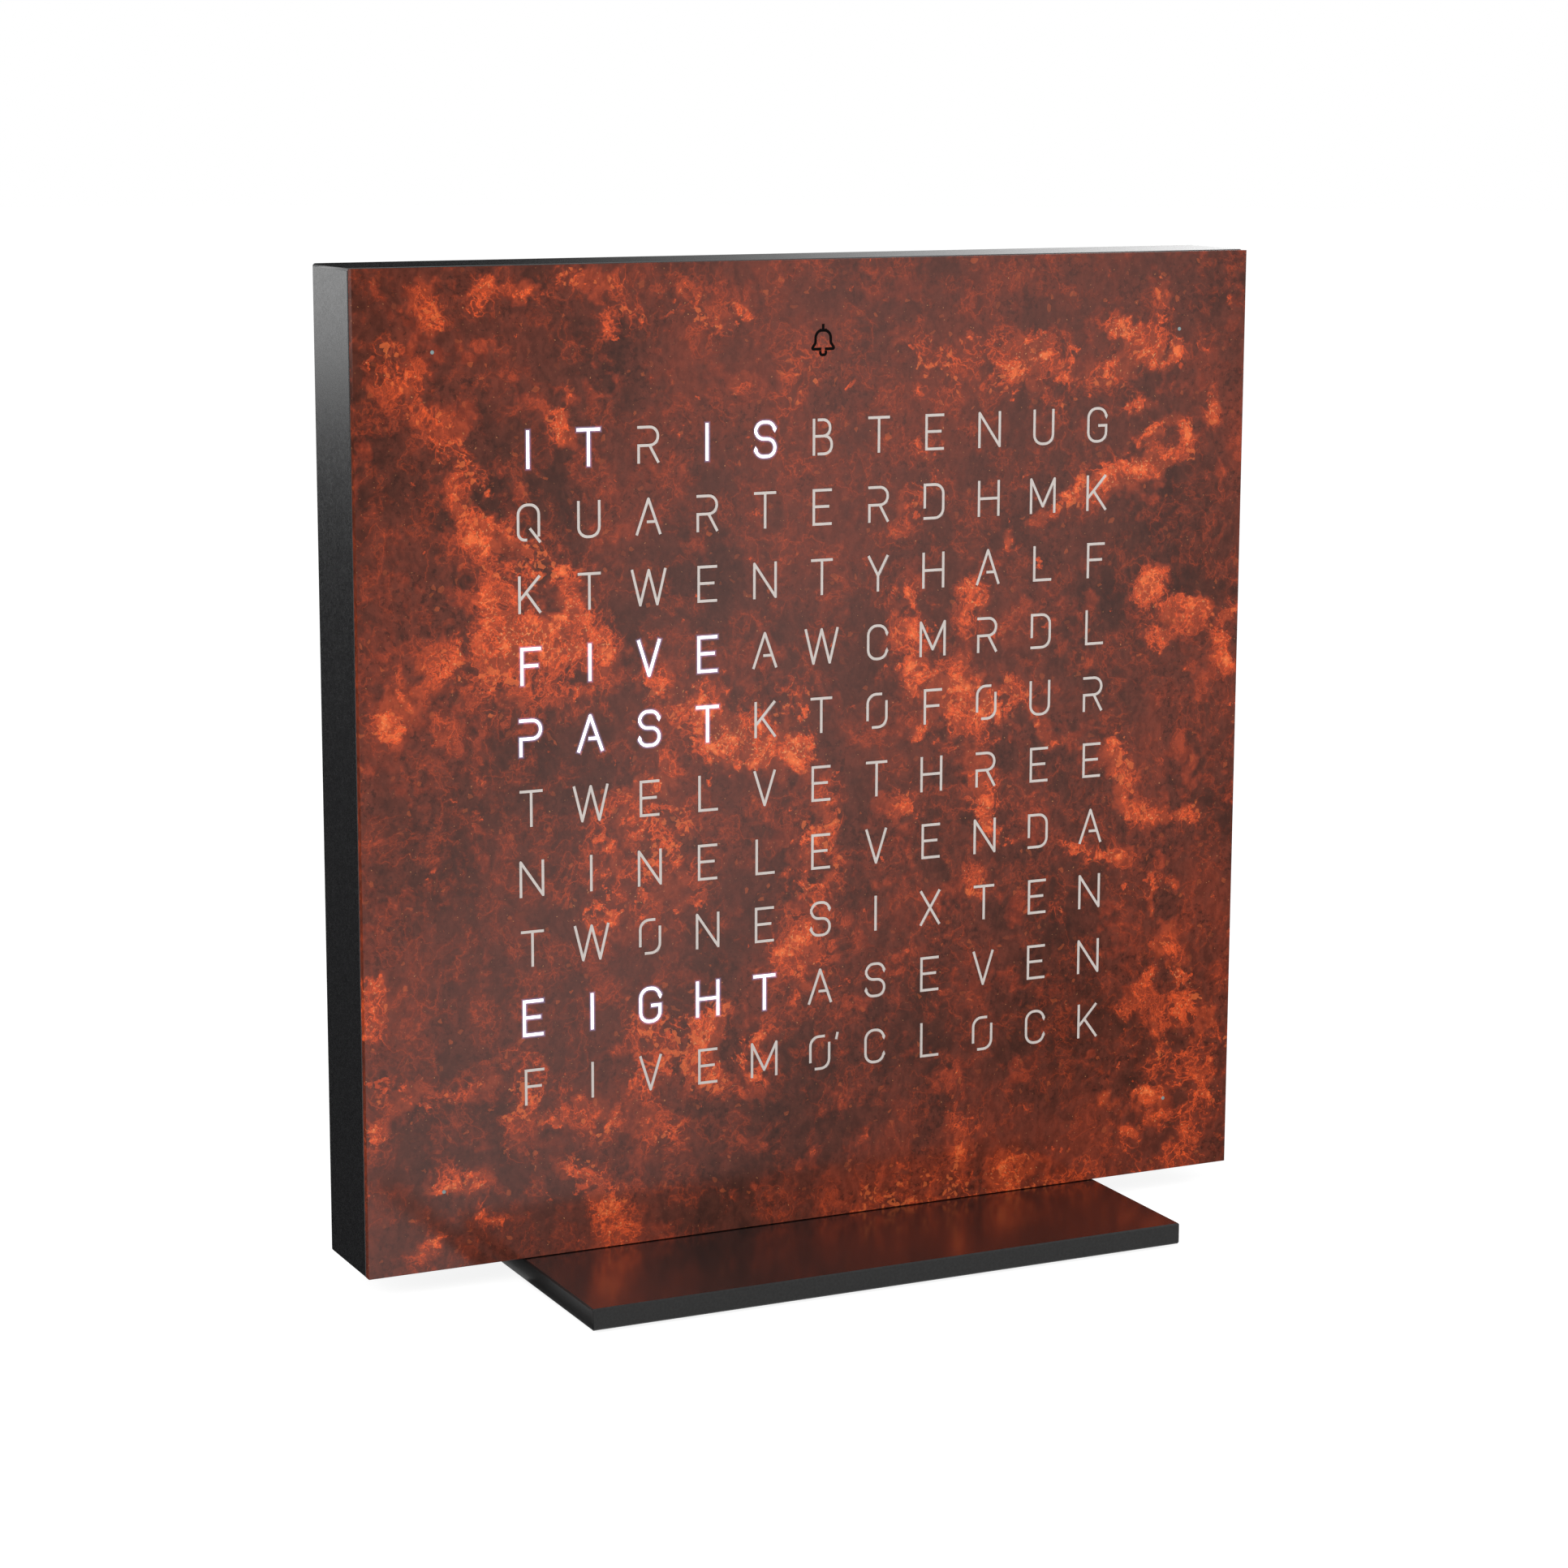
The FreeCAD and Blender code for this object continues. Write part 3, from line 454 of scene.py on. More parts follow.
def outerSheet():
    # the face round the block of letters: its bevelled edge, the bell and the four minute dots, round which
    # the depth falls evenly to nothing over their chamfer
    half = np.array(faceHigh - faceLow)[[0, 2]] / 2
    inner = half - dial["rimBevel"]
    cells = np.array((len(dial["rows"][0]), len(dial["rows"])))
    block = cells * halfCell
    blockCount = cells * dial["netSteps"]
    outerCount = (blockCount * half / block).round().astype(int)
    borders = [squareRing(*half, *outerCount), squareRing(*inner, *outerCount),
               squareRing(*block, *blockCount)]
    bell = [(path + (0, bellSign["above"]), ends) for path, ends in cutStrokes(bellSign["strokes"])]
    offset = minuteDot["offset"]
    dots = [plainStroke((x, z)) for x in (-offset, offset) for z in (-offset, offset)]
    bellHalf, dotRadius = bellSign["strokeWidth"] / 2, minuteDot["radius"]
    net = netInside(*inner, *outerCount)
    clear = awayFrom(net, bell + dots) > dial["signGap"]
    net = net[(np.abs(net) > block + dial["blockGap"]).any(1) & clear]
    groups = [(bell, [bellHalf]), (dots, [dotRadius, dotRadius + minuteDot["chamfer"]])]
    points, faces = cutSheet(borders, groups, net)
    below = np.clip(1 - (awayFrom(points, dots) - dotRadius) / minuteDot["chamfer"], 0, 1)
    depth = below * minuteDot["chamferDepth"]
    depth[(np.abs(points) > half - 1e-3).any(1)] = dial["rimBevel"]
    middles = points[faces].mean(1)
    steel = (np.abs(middles) > block).any(1)
    isBell = awayFrom(middles, bell) < bellHalf
    isDot = awayFrom(middles, dots) < dotRadius
    return points, depth, faces[steel & ~isBell & ~isDot], faces[isBell], faces[isDot]


def thickSheet(name, points, depth, faces, material, marks=None):
    # a closed solid from a flat triangulation: the front at its depths, the same triangles turned round at
    # the back, and a wall along every edge that has a triangle on one side only
    backDepth = faceHigh[1] - faceLow[1]
    used, faces = np.unique(faces, return_inverse=True)
    faces = faces.reshape(-1, 3)
    points, depth = points[used], depth[used]
    spans = points[faces]
    area = np.cross(spans[:, 1] - spans[:, 0], spans[:, 2] - spans[:, 0])
    faces[area < 0] = faces[area < 0][:, ::-1]
    count = len(points)
    front = np.stack([points[:, 0], depth, points[:, 1]], 1)
    back = np.stack([points[:, 0], np.full(count, backDepth), points[:, 1]], 1)
    solid = np.concatenate([front, back]) + (faceMiddle[0], faceLow[1], faceMiddle[2])
    edges = np.concatenate([faces[:, [0, 1]], faces[:, [1, 2]], faces[:, [2, 0]]])
    keys = edges[:, 0].astype(np.int64) * count + edges[:, 1]
    turned = edges[:, 1].astype(np.int64) * count + edges[:, 0]
    rim = edges[~np.isin(keys, turned)]
    walls = np.stack([rim[:, 1], rim[:, 0], rim[:, 0] + count, rim[:, 1] + count], 1)
    piece = addMesh(name, solid, [faces, faces[:, ::-1] + count, walls], material)
    for mark, values in (marks or {}).items():
        # the back has the front's marks, but for the painted glow
        both = np.concatenate([values[used], values[used] * (mark != "paintedGlow")]).astype(np.float32)
        piece.data.attributes.new(mark, "FLOAT", "POINT").data.foreach_set("value", both)
    return piece


def joinSheets(sheets):
    # welds flat parts that share border points into one list of points and faces
    points, depth, paintedGlow = (np.concatenate([sheet[k] for sheet in sheets]) for k in (0, 1, 2))
    starts = np.cumsum([0] + [len(sheet[0]) for sheet in sheets[:-1]])
    _, first, where = np.unique(np.round(points, 4), axis=0, return_index=True, return_inverse=True)
    steel, opened = (where.ravel()[np.concatenate([sheet[k] + start for sheet, start in zip(sheets, starts)])]
                     for k in (3, 4))
    return points[first], depth[first], paintedGlow[first], steel, opened


def isLit(row, column):
    return column in dial["litRows"].get(row, ())


def cellMiddle(row, column):
    # middle of a letter's cell, across and up from the middle of the face
    rows = dial["rows"]
    return ((column - (len(rows[row]) - 1) / 2) * dial["columnPitch"],
            ((len(rows) - 1) / 2 - row) * dial["rowPitch"])


letterPlaces = [(row, column) for row, text in enumerate(dial["rows"]) for column in range(len(text))]


# finishes

rust = {
    "deep": (52, 25, 18),
    "dark": (73, 36, 26),
    "brown": (94, 44, 32),
    "red": (119, 50, 33),
    "halo": (142, 55, 34),
    "film": (132, 52, 34),
    "filmBright": (176, 71, 38),
    "patch": (198, 76, 40),
    "orange": (240, 94, 44),
    "flake": (255, 128, 68),
    "gold": (228, 154, 98),
    "scale": (226, 108, 56),
    # painted reflection: the greyer brown laid where the wax is thick
    "paintedVeilGrey": (84, 48, 41),
    # the wax, which also sets where a painted reflection greys the colour: its roughness, the least share of
    # it, and the runs where more of it is left
    "waxRoughness": 0.15,
    "waxLeast": 0.13,
    "waxRuns": [
        (54, 0.58, (-64, -64), (-30, -20), (-10, 20), (10, 64)), (30, 0.25, (60, 64), (50, 0)),
    ],
    # runs of fresh orange rust: half width, strength, then points across and up from the face's middle
    "freshRuns": [
        (4, 0.5, (-62, 55), (-58, 50)), (2, 0.5, (-58, 65), (-56, 60)), (1.6, 0.8, (-51, 62), (-49, 65)),
        (2, 0.4, (-46, 64), (-42, 64)), (1.6, 0.5, (-38, 66), (-30, 65)), (2, 0.5, (-32, 59), (-28, 61)),
        (4, 0.5, (-54, 46), (-52, 38), (-50, 33)), (4, 0.5, (-49, 31), (-43, 28)),
        (4, 0.8, (-48, 23), (-47, 18)), (4, 0.9, (-45, 18), (-36, 18), (-34, 17)),
        (2, 0.8, (-38, 26), (-37, 22)), (4, 0.6, (-62, 10), (-57, 15), (-52, 17)),
        (5, 0.4, (-48, 11), (-32, 12)), (2, 0.6, (-64, 8), (-63, 7)), (2, 0.5, (-56, 7), (-55, 6)),
        (1.6, 1.1, (-39.3, 47.4), (-38.2, 47.8)), (1.5, 1.0, (-38.6, 44.9), (-37.6, 45)),
        (4, 0.75, (-24, 10), (-20, 8), (-12, 3)), (4, 0.85, (-16, 2), (-4, 0)), (3, 0.7, (-4, 8), (-3, 2)),
        (3, 0.45, (-22, 63), (-16, 60)), (1.6, 0.6, (-12, 60), (-12, 61)), (1.5, 0.7, (-13, 51), (-12, 51)),
        (2.4, 1.0, (30, 52.5), (34, 54.5)), (7, 0.35, (16, 54), (38, 51)), (2.2, 1.0, (46, 57), (52, 55.5)),
        (2.6, 1.0, (46, 51), (50, 52.5), (55, 53)), (2, 0.5, (53, 64), (54, 61)),
        (1.4, 1.1, (62.5, 47), (62.5, 44)), (1.6, 0.9, (49.5, 45), (50.5, 45.5)),
        (1.3, 0.8, (50, 41.4), (54, 43), (57, 43.6), (58.6, 41.5), (58, 39), (55, 37.4), (50, 36.4)),
        (2.6, 0.95, (42, 34.5), (47, 36.4), (53, 38)), (1.4, 0.7, (33, 30), (37, 32.5), (41, 34)),
        (1.6, 0.8, (29, 28), (29.4, 27)), (2.2, 0.95, (22.5, 21), (25, 20)), (3, 0.5, (23, 17), (27, 15)),
        (4, 0.55, (14, 19), (14, 14)), (2.5, 0.45, (17, 42), (15, 37), (12, 30)),
        (2.6, 0.95, (51.5, 19), (53, 21)), (3.2, 0.9, (56, 16), (59, 15.5)),
        (2, 0.8, (52.5, 12.8), (54, 12)), (1.5, 0.9, (61.5, 17), (62, 16.6)),
        (1.5, 0.8, (66.5, 16), (64.6, 13), (64.6, 9), (66.8, 6.6)), (3, 0.75, (14, 9), (17, 8)),
        (4.5, 0.85, (21, 7), (23, 2), (26, 4)), (2.5, 0.7, (16, 1), (16, 2)),
        (1.4, 0.5, (30, 8), (33, 3), (37, -2)), (6, 0.5, (-30, -7), (-33, -20)),
        (5, 0.55, (-24, -8), (-22, -18)), (1.2, 0.8, (-27, -2), (-24, -3), (-22.6, -1), (-24, 1)),
        (2, 0.7, (-66, -27), (-66.5, -34)), (5, 0.5, (-1, -14), (-2, -32)),
        (2.4, 0.7, (-6, -28), (-3, -26)), (1.5, 0.7, (-15, -35), (-18, -40)),
        (5, 0.6, (-17, -43), (-13, -45)), (3, 0.55, (-9, -40), (-9, -42)),
        (4, 0.55, (-27, -38), (-21, -38)), (4, 0.6, (-26, -45), (-24, -52)),
        (4, 0.55, (-45, -41), (-44, -47)), (3, 0.7, (-38, -47), (-33, -49)),
        (2, 0.7, (-39, -55.5), (-34, -57)), (3.4, 0.85, (-33, -61), (-31, -66)),
        (3, 0.6, (-58, -56), (-52, -55)), (3, 0.5, (-64, -42), (-60, -44)),
        (1.6, 1.0, (-66, -47.5), (-66, -47.5)), (1, 0.5, (-56, -43.5), (-49, -42)),
        (1.6, 0.8, (-60, -65), (-58, -63)), (1.6, 0.6, (-51, -60), (-49, -61.5)),
        (1.6, 0.5, (-51, -1), (-51, -6)), (2.6, 0.8, (25, -4), (26.5, -13)), (2.6, 0.45, (1, -5), (1, -12)),
        (2, 0.6, (11, -8.5), (13, -8)), (2.4, 0.9, (47, -3), (48.6, -8)), (2.4, 0.7, (49, -12), (52, -14)),
        (1.5, 0.8, (54, -14), (61, -14)), (1.3, 0.95, (39.5, -16.8), (44, -18.8), (50, -20)),
        (2.4, 0.5, (24, -20), (24, -22)), (1.4, 0.6, (38, -25.6), (38.5, -26)),
        (1.6, 0.7, (54, -24), (54, -28)), (1.4, 0.6, (57, -24), (57.6, -24.4)),
        (2, 0.6, (55, -34), (52, -40), (49, -43)), (2.4, 0.6, (57, -32), (59, -40)),
        (4, 0.4, (56, -44), (64, -50)), (2, 0.8, (46.5, -55), (48, -57)),
        (1.8, 0.85, (52, -55.5), (56, -56)), (1.2, 0.8, (54, -59.5), (57, -58.5)),
        (1, 0.8, (48.6, -60), (51.6, -61.4)), (1.2, 0.7, (60, -61.5), (62, -63.5)),
        (3, 0.4, (20, -55), (24, -58)), (1.2, 0.5, (13, -61), (15, -67)),
        (1.4, 0.6, (23, -60), (22.6, -64)), (4, 0.8, (30, -66), (33, -64)), (2, 0.6, (63, -53), (64, -56)),
        (2, 0.5, (60, -42), (64, -44)),
    ],
    # wide areas where the ground is darker (below 0) or redder (above 0)
    "groundRuns": [
        (16, -0.8, (-46, 58), (-44, 46)), (12, -0.9, (-40, 64), (-30, 60)),
        (13, -0.8, (-30, 18), (-24, 24)), (18, -0.8, (-58, 2), (-52, -12), (-58, -24)),
        (12, -0.8, (-40, -2), (-34, -1)), (14, -0.7, (-24, -32), (-12, -22), (-12, -10)),
        (12, -0.6, (-14, 14), (-6, 12)), (14, -0.7, (8, -14), (16, -30)), (16, -0.7, (44, -28), (50, -34)),
        (16, -0.8, (56, -4), (64, -10)), (14, -0.7, (54, 28), (60, 24)), (12, -0.6, (40, 8), (48, 12)),
        (10, -0.4, (-6, -54), (16, -50)), (12, -0.7, (34, -48), (38, -50)), (10, -0.5, (14, 36), (8, 44)),
        (10, -0.7, (48, 44), (56, 48)), (22, 0.6, (0, 58), (36, 54)), (18, 0.5, (0, 36), (20, 30)),
        (18, 0.95, (60, -22), (58, -62)), (12, 0.75, (34, -66), (8, -66)), (14, 0.4, (-62, 62), (-62, 40)),
        (14, 0.4, (6, 0), (14, 12)),
    ],
    "fade": 1.5,                # a run fades out at this many of its half widths
    # reach in millimetres, scale and detail of the drifts that bend every pattern
    "drifts": ((5.0, 0.06, 3), (1.6, 0.35, 4)),
    "tall": (1.0, 1.0, 0.7),    # stretch of the patterns that are drawn out downwards
    "ground": (("deep", 0.3), ("dark", 0.41), ("brown", 0.51), ("red", 0.62)),
    "rims": ((0.612, 0.01), (0.65, 0.008)),     # level of the film and half width of each rim along it
    "veins": ((0.11, 0.01, 0.95), (0.26, 0.018, 0.8), (0.5, 0.024, 0.3)),   # scale, half width, strength
    # how strongly each layer covers those below it
    "specks": 0.6,
    "filmCover": 0.56,
    # strength of the painted reflection, the greyer brown laid where the wax is thick
    "waxAndPaintedVeil": 0.45,
    "threads": 0.78,
    "bright": 0.55,
    "scales": 0.5,
    "grains": 0.6,
    "relief": (0.04, 0.35),     # depth in millimetres and strength of the bumps
    "paintedGlow": (0.62, 0.58, 1.0, 1.0),     # painted glow: colour of the light painted on the steel round the lit letters
    "glowStrength": 0.5,
}


def runStrength(points, runs):
    # sum over the runs of strength times a smooth fall from the run's line outwards
    total = np.zeros(len(points))
    for halfWidth, strength, *line in runs:
        share = np.clip(1 - awayFrom(points, [plainStroke(line)]) / (rust["fade"] * halfWidth), 0, 1)
        total += strength * share * share * (3 - 2 * share)
    return total


def rustFinish():
    material, tree, shader = startFinish("rustedSteel", Coat_Roughness=rust["waxRoughness"],
                                         Specular_IOR_Level=0.0)
    place = placeInMm(tree)
    fresh, shade, waxAndPaintedVeil, paintedGlow = (put(tree, "Attribute", attribute_name=mark).outputs["Fac"]
                               for mark in ("fresh", "shade", "waxAndPaintedVeil", "paintedGlow"))
    # two drifts bend the patterns below, as damp did when it ran over the sheet
    drift = place
    for reach, scale, detail in rust["drifts"]:
        field = noise(tree, place, scale, detail, 0.55, output="Color")
        centred = vector(tree, "SUBTRACT", field, (0.5, 0.5, 0.5))
        drift = vector(tree, "ADD", drift, vector(tree, "SCALE", centred, reach))
    tall = vector(tree, "MULTIPLY", drift, rust["tall"])

    def cover(amount, name):
        # the colour so far, with one of the rust's tones laid over it
        return mix(tree, amount, colour, tone(*rust[name]))

    # brown ground: wide soft clouds with the named areas, and a finer mottling
    clouds = noise(tree, tall, 0.07, 5, 0.5)
    mottle = noise(tree, tall, 0.45, 5, 0.5)
    ground = timesPlus(tree, clouds, 0.58, timesPlus(tree, mottle, 0.26, 0.08))
    ground = timesPlus(tree, shade, 0.05, ground)
    colour = shades(tree, ground, [(level, tone(*rust[name])) for name, level in rust["ground"]])
    # black specks that crowd in some places
    specks = noise(tree, place, 1.3, 5, 0.7)
    crowd = spread(tree, noise(tree, drift, 0.1, 3, 0.5), 0.42, 0.62, 0.35, 0.46)
    specks = spread(tree, calc(tree, "SUBTRACT", crowd, specks), -0.02, 0.03)
    colour = cover(times(tree, specks, rust["specks"]), "deep")

    # grit: dark grains and paler ones between them, drawn out a little downwards
    grit = noise(tree, tall, 1.0, 3, 0.52)

    # a see-through film of new rust with a faint halo round it; its edge is crisp near the fresh rust
    patchy = noise(tree, drift, 0.16, 5, 0.5)
    small = noise(tree, drift, 0.6, 5, 0.5)
    film = timesPlus(tree, patchy, 0.62, times(tree, small, 0.38))
    film = timesPlus(tree, fresh, 0.225, film)
    colour = cover(spread(tree, film, 0.53, 0.62, 0.0, 0.4), "halo")
    patches = spread(tree, noise(tree, place, 0.22, 4, 0.55), 0.42, 0.56)
    wanted = calc(tree, "MAXIMUM", spread(tree, fresh, 0.0, 0.6, 0.25, 1.0), spread(tree, shade, 0.5, 0.85))
    near = times(tree, patches, wanted)
    soft = spread(tree, film, 0.53, 0.68)
    edged = calc(tree, "SUBTRACT", spread(tree, film, 0.603, 0.611), soft)
    inside = timesPlus(tree, edged, spread(tree, near, 0.1, 0.45, 0.15, 1.0), soft)
    ripe = timesPlus(tree, fresh, 0.5, timesPlus(tree, small, 0.9, times(tree, grit, 0.5)))
    tint = mix(tree, spread(tree, ripe, 0.6, 1.15), tone(*rust["film"]), tone(*rust["filmBright"]))
    colour = mix(tree, times(tree, inside, rust["filmCover"]), colour, tint)
    colour = vector(tree, "SCALE", colour, spread(tree, grit, 0.34, 0.66, 0.8, 1.17))
    for level, width in rust["rims"]:
        off = awayFromLevel(tree, film, level)
        colour = cover(times(tree, spread(tree, off, 0.0, width, 0.8, 0.0), near), "orange")

    # painted reflection: where the wax is thick, a greyer brown is laid over the film and the ground, for the
    # pale veil that the gloss shows there
    colour = cover(spread(tree, waxAndPaintedVeil, 0.4, 0.75, 0.0, rust["waxAndPaintedVeil"]), "paintedVeilGrey")

    # veins: thin wandering lines with a glow of red on both sides, fainter away from the fresh rust
    for scale, width, most in rust["veins"]:
        off = awayFromLevel(tree, noise(tree, drift, scale, 5, 0.55), 0.53)
        colour = cover(times(tree, spread(tree, off, 0.0, 5 * width, 0.5, 0.0), near), "halo")
        line = times(tree, spread(tree, off, 0.0, width, most, 0.0), calc(tree, "POWER", near, 1.3))
        colour = cover(line, "orange")

    # bright flakes where the rust is fresh, with darker grains between them
    flakes = timesPlus(tree, noise(tree, drift, 0.3, 5, 0.57), 0.8,
                       times(tree, noise(tree, drift, 1.1, 3, 0.5), 0.2))
    heart = timesPlus(tree, calc(tree, "MINIMUM", fresh, 0.8), 0.22, flakes)
    crisp = spread(tree, heart, 0.667, 0.683)
    between = spread(tree, noise(tree, drift, 0.55, 3, 0.5), 0.44, 0.58)
    colour = cover(times(tree, crisp, timesPlus(tree, between, 0.42, 0.28)), "patch")
    ridge = awayFromLevel(tree, noise(tree, drift, 0.5, 5, 0.56), 0.5)
    threads = times(tree, spread(tree, ridge, 0.0, 0.032, 1.0, 0.0), spread(tree, heart, 0.63, 0.69))
    colour = cover(times(tree, threads, rust["threads"]), "orange")
    bright = times(tree, spread(tree, heart, 0.71, 0.79), calc(tree, "MAXIMUM", threads, between))
    colour = cover(times(tree, bright, rust["bright"]), "flake")

    # small angular scales, thick in a few places
    cells = put(tree, "TexVoronoi", {"Vector": drift, "Scale": 1.7}).outputs["Color"]
    chance = put(tree, "SeparateColor", {0: cells}).outputs[0]
    scaly = spread(tree, noise(tree, place, 0.09, 3, 0.5), 0.48, 0.62, 0.0, 0.24)
    scaly = times(tree, scaly, spread(tree, near, 0.3, 0.75))
    chosen = spread(tree, calc(tree, "SUBTRACT", scaly, chance), -0.02, 0.02)
    colour = cover(times(tree, chosen, rust["scales"]), "scale")

    # pale golden grains, thickest among the flakes, and a fine grain over all
    grains = noise(tree, place, 2.4, 3, 0.6)
    richer = timesPlus(tree, fresh, 0.05, times(tree, crisp, 0.05))
    grains = spread(tree, calc(tree, "ADD", grains, richer), 0.67, 0.73)
    colour = cover(times(tree, grains, rust["grains"]), "gold")
    grain = spread(tree, noise(tree, place, 2.2, 4, 0.7), 0.3, 0.7, 0.92, 1.08)
    join(vector(tree, "SCALE", colour, grain), shader, "Base Color")

    # rough oxide under a wax that is thickest low on the left
    join(spread(tree, film, 0.45, 0.75, 0.5, 0.68), shader, "Roughness")
    join(waxAndPaintedVeil, shader, "Coat Weight")
    relief(tree, shader, timesPlus(tree, crisp, 0.5, times(tree, mottle, 0.5)), *rust["relief"])
    # painted glow: the steel round the lit letters is given a light of its own, in place of the light they
    # throw
    shader.inputs["Emission Color"].default_value = rust["paintedGlow"]
    join(times(tree, calc(tree, "POWER", paintedGlow, 2.0), rust["glowStrength"]), shader, "Emission Strength")
    return material


def opalFinish(name, colour, emission=0.0):
    # opal sheet: faint clouds, and a light of its own where a lamp stands behind it
    material, tree, shader = startFinish(name, Roughness=0.45, IOR=1.49)
    cloud = spread(tree, noise(tree, placeInMm(tree), 0.6, 4, 0.55), 0.3, 0.7, 0.0, 0.3)
    join(mix(tree, cloud, tone(*colour), shaded(colour, 0.9)), shader, "Base Color")
    if emission:
        shader.inputs["Emission Color"].default_value = (1.0, 0.985, 1.0, 1.0)
        shader.inputs["Emission Strength"].default_value = emission
    return material


def coatedMetal(name, colour, roughness, mottle, depth, polishedTop=False, **constants):
    # powder coat: a fine grain in colour, gloss and height; a polished top has a gloss coat where it faces up
    material, tree, shader = startFinish(name, Metallic=0.0, **constants)
    place = placeInMm(tree)
    fine = noise(tree, place, 2.6, 4, 0.65)
    blend = calc(tree, "ADD", times(tree, noise(tree, place, 0.5, 5, 0.65), 0.15), times(tree, fine, 0.85))
    base = shades(tree, blend, [(0.4, shaded(colour, 1 - mottle)), (0.6, shaded(colour, 1 + mottle))])
    join(spread(tree, blend, 0.36, 0.64, roughness - 0.03, roughness + 0.04), shader, "Roughness")
    relief(tree, shader, fine, depth, 0.3)
    if polishedTop:
        facing = put(tree, "SeparateXYZ", {0: put(tree, "NewGeometry").outputs["Normal"]}).outputs["Z"]
        polished = spread(tree, facing, 0.7, 0.95)
        join(polished, shader, "Coat Weight")
        base = mix(tree, polished, base, shaded(colour, 0.4))
    join(base, shader, "Base Color")
    return material


def plainPlastic(name, colour, roughness=0.45, grain=0.01, grainScale=3.5, **constants):
    # moulded plastic: an even grain, and wide faint clouds where it is a little paler and smoother
    material, tree, shader = startFinish(name, IOR=1.49, **constants)
    place = placeInMm(tree)
    fine = noise(tree, place, grainScale, 3, 0.6)
    wide = noise(tree, place, 0.06, 4, 0.6)
    base = mix(tree, spread(tree, wide, 0.35, 0.65, 0.0, 0.5), tone(*colour), shaded(colour, 0.82))
    join(base, shader, "Base Color")
    rough = spread(tree, fine, 0.3, 0.7, roughness - 0.06, roughness + 0.08)
    cloud = spread(tree, wide, 0.35, 0.65, 0.06, -0.06)
    join(calc(tree, "ADD", rough, cloud), shader, "Roughness")
    relief(tree, shader, fine, grain, 0.5)
    return material


def brightMetal(name, colour, roughness):
    # bare or plated metal: lines that run up it, and faint clouds
    material, tree, shader = startFinish(name, Metallic=1.0)
    lines = noise(tree, placeInMm(tree, (1.0, 1.0, 0.12)), 4.0, 4, 0.6)
    cloud = spread(tree, noise(tree, placeInMm(tree), 0.8, 4, 0.6), 0.35, 0.7, 0.0, 0.5)
    join(mix(tree, cloud, tone(*colour), shaded(colour, 0.8)), shader, "Base Color")
    join(spread(tree, lines, 0.3, 0.7, roughness - 0.06, roughness + 0.12), shader, "Roughness")
    relief(tree, shader, lines, 0.004, 0.4)
    return material


finishes = {
    "rust": rustFinish(),
    "pane": opalFinish("opalPane", (205, 196, 190)),
    "dotPane": opalFinish("dotPane", (128, 148, 148)),
    "litPane": opalFinish("litOpalPane", (235, 235, 240), 1.7),
    "sheet": opalFinish("opalSheet", (228, 226, 220)),
    "bellInk": plainPlastic("bellBlack", (9, 6, 6), 0.8, Specular_IOR_Level=0.05),
    "case": coatedMetal("blackCoat", (31, 31, 32), 0.24, 0.07, 0.003, IOR=1.55),
    "stand": coatedMetal("standCoat", (22, 22, 22), 0.4, 0.25, 0.004, True, IOR=1.36, Coat_IOR=2.8,
                         Coat_Roughness=0.17),
    "blackPlastic": plainPlastic("blackPlastic", (34, 34, 36), 0.5, 0.02),
    "whitePlastic": plainPlastic("whitePlastic", (226, 226, 222), 0.4),
    "chip": plainPlastic("chipPlastic", (38, 38, 40), 0.55),
    "board": plainPlastic("greenBoard", (31, 58, 44), 0.3),
    "rubber": plainPlastic("padRubber", (30, 30, 30), 0.75, 0.03),
    "foam": plainPlastic("blackFoam", (44, 44, 46), 0.9, 0.1),
    "steel": brightMetal("plainSteel", (176, 176, 178), 0.28),
    "blackened": brightMetal("blackenedSteel", (62, 62, 65), 0.3),
    "zinc": brightMetal("zincPlate", (184, 188, 194), 0.3),
    "nickel": brightMetal("nickelPlate", (196, 192, 184), 0.22),
    "ferrite": plainPlastic("ferrite", (62, 62, 66), 0.5),
    "panel": plainPlastic("panelGrain", (38, 38, 40), 0.46, 0.06, 1.5),
    "button": plainPlastic("buttonSatin", (46, 46, 49), 0.32, 0.006),
    "plunger": plainPlastic("plungerPlastic", (216, 212, 200), 0.4),
    "ledCase": plainPlastic("ledCase", (238, 236, 226), 0.35),
    "phosphor": opalFinish("phosphor", (226, 196, 84)),
    "litPhosphor": opalFinish("litPhosphor", (250, 240, 200), 6.0),
}
print("finishes made")

# the CAD nodes listed here get their finishes, also those that a finer piece stands for
nodeFinishes = {
    "letter_diffuser": "sheet", "housing_frame": "case", "housing_magnets": "nickel",
    "light_grid": "whitePlastic", "led_board": "board", "letter_leds": "ledCase", "minute_leds": "ledCase",
    "bell_led": "ledCase", "light_sensor": "chip", "processor": "chip", "led_drivers": "chip",
    "clock_crystal": "steel", "power_coil": "ferrite", "supply_capacitors": "steel",
    "coin_cell_holder": "blackPlastic", "coin_cell": "steel", "coin_cell_contact": "nickel",
    "alarm_sounder": "blackPlastic", "sound_ring": "foam", "touch_contact": "nickel",
    "power_socket_shell": "steel", "power_socket_tongue": "blackPlastic", "switch_cases": "blackPlastic",
    "back_panel": "panel", "panel_screws": "blackened", "stand_screws": "zinc", "stand_plate": "stand",
    "stand_pad": "rubber", "hour_button": "button", "minute_button": "button", "alarm_button": "button",
    "hour_plunger": "plunger", "minute_plunger": "plunger", "alarm_plunger": "plunger",
}
for name, finish in nodeFinishes.items():
    nodes[name].data.materials.clear()
    nodes[name].data.materials.append(finishes[finish])


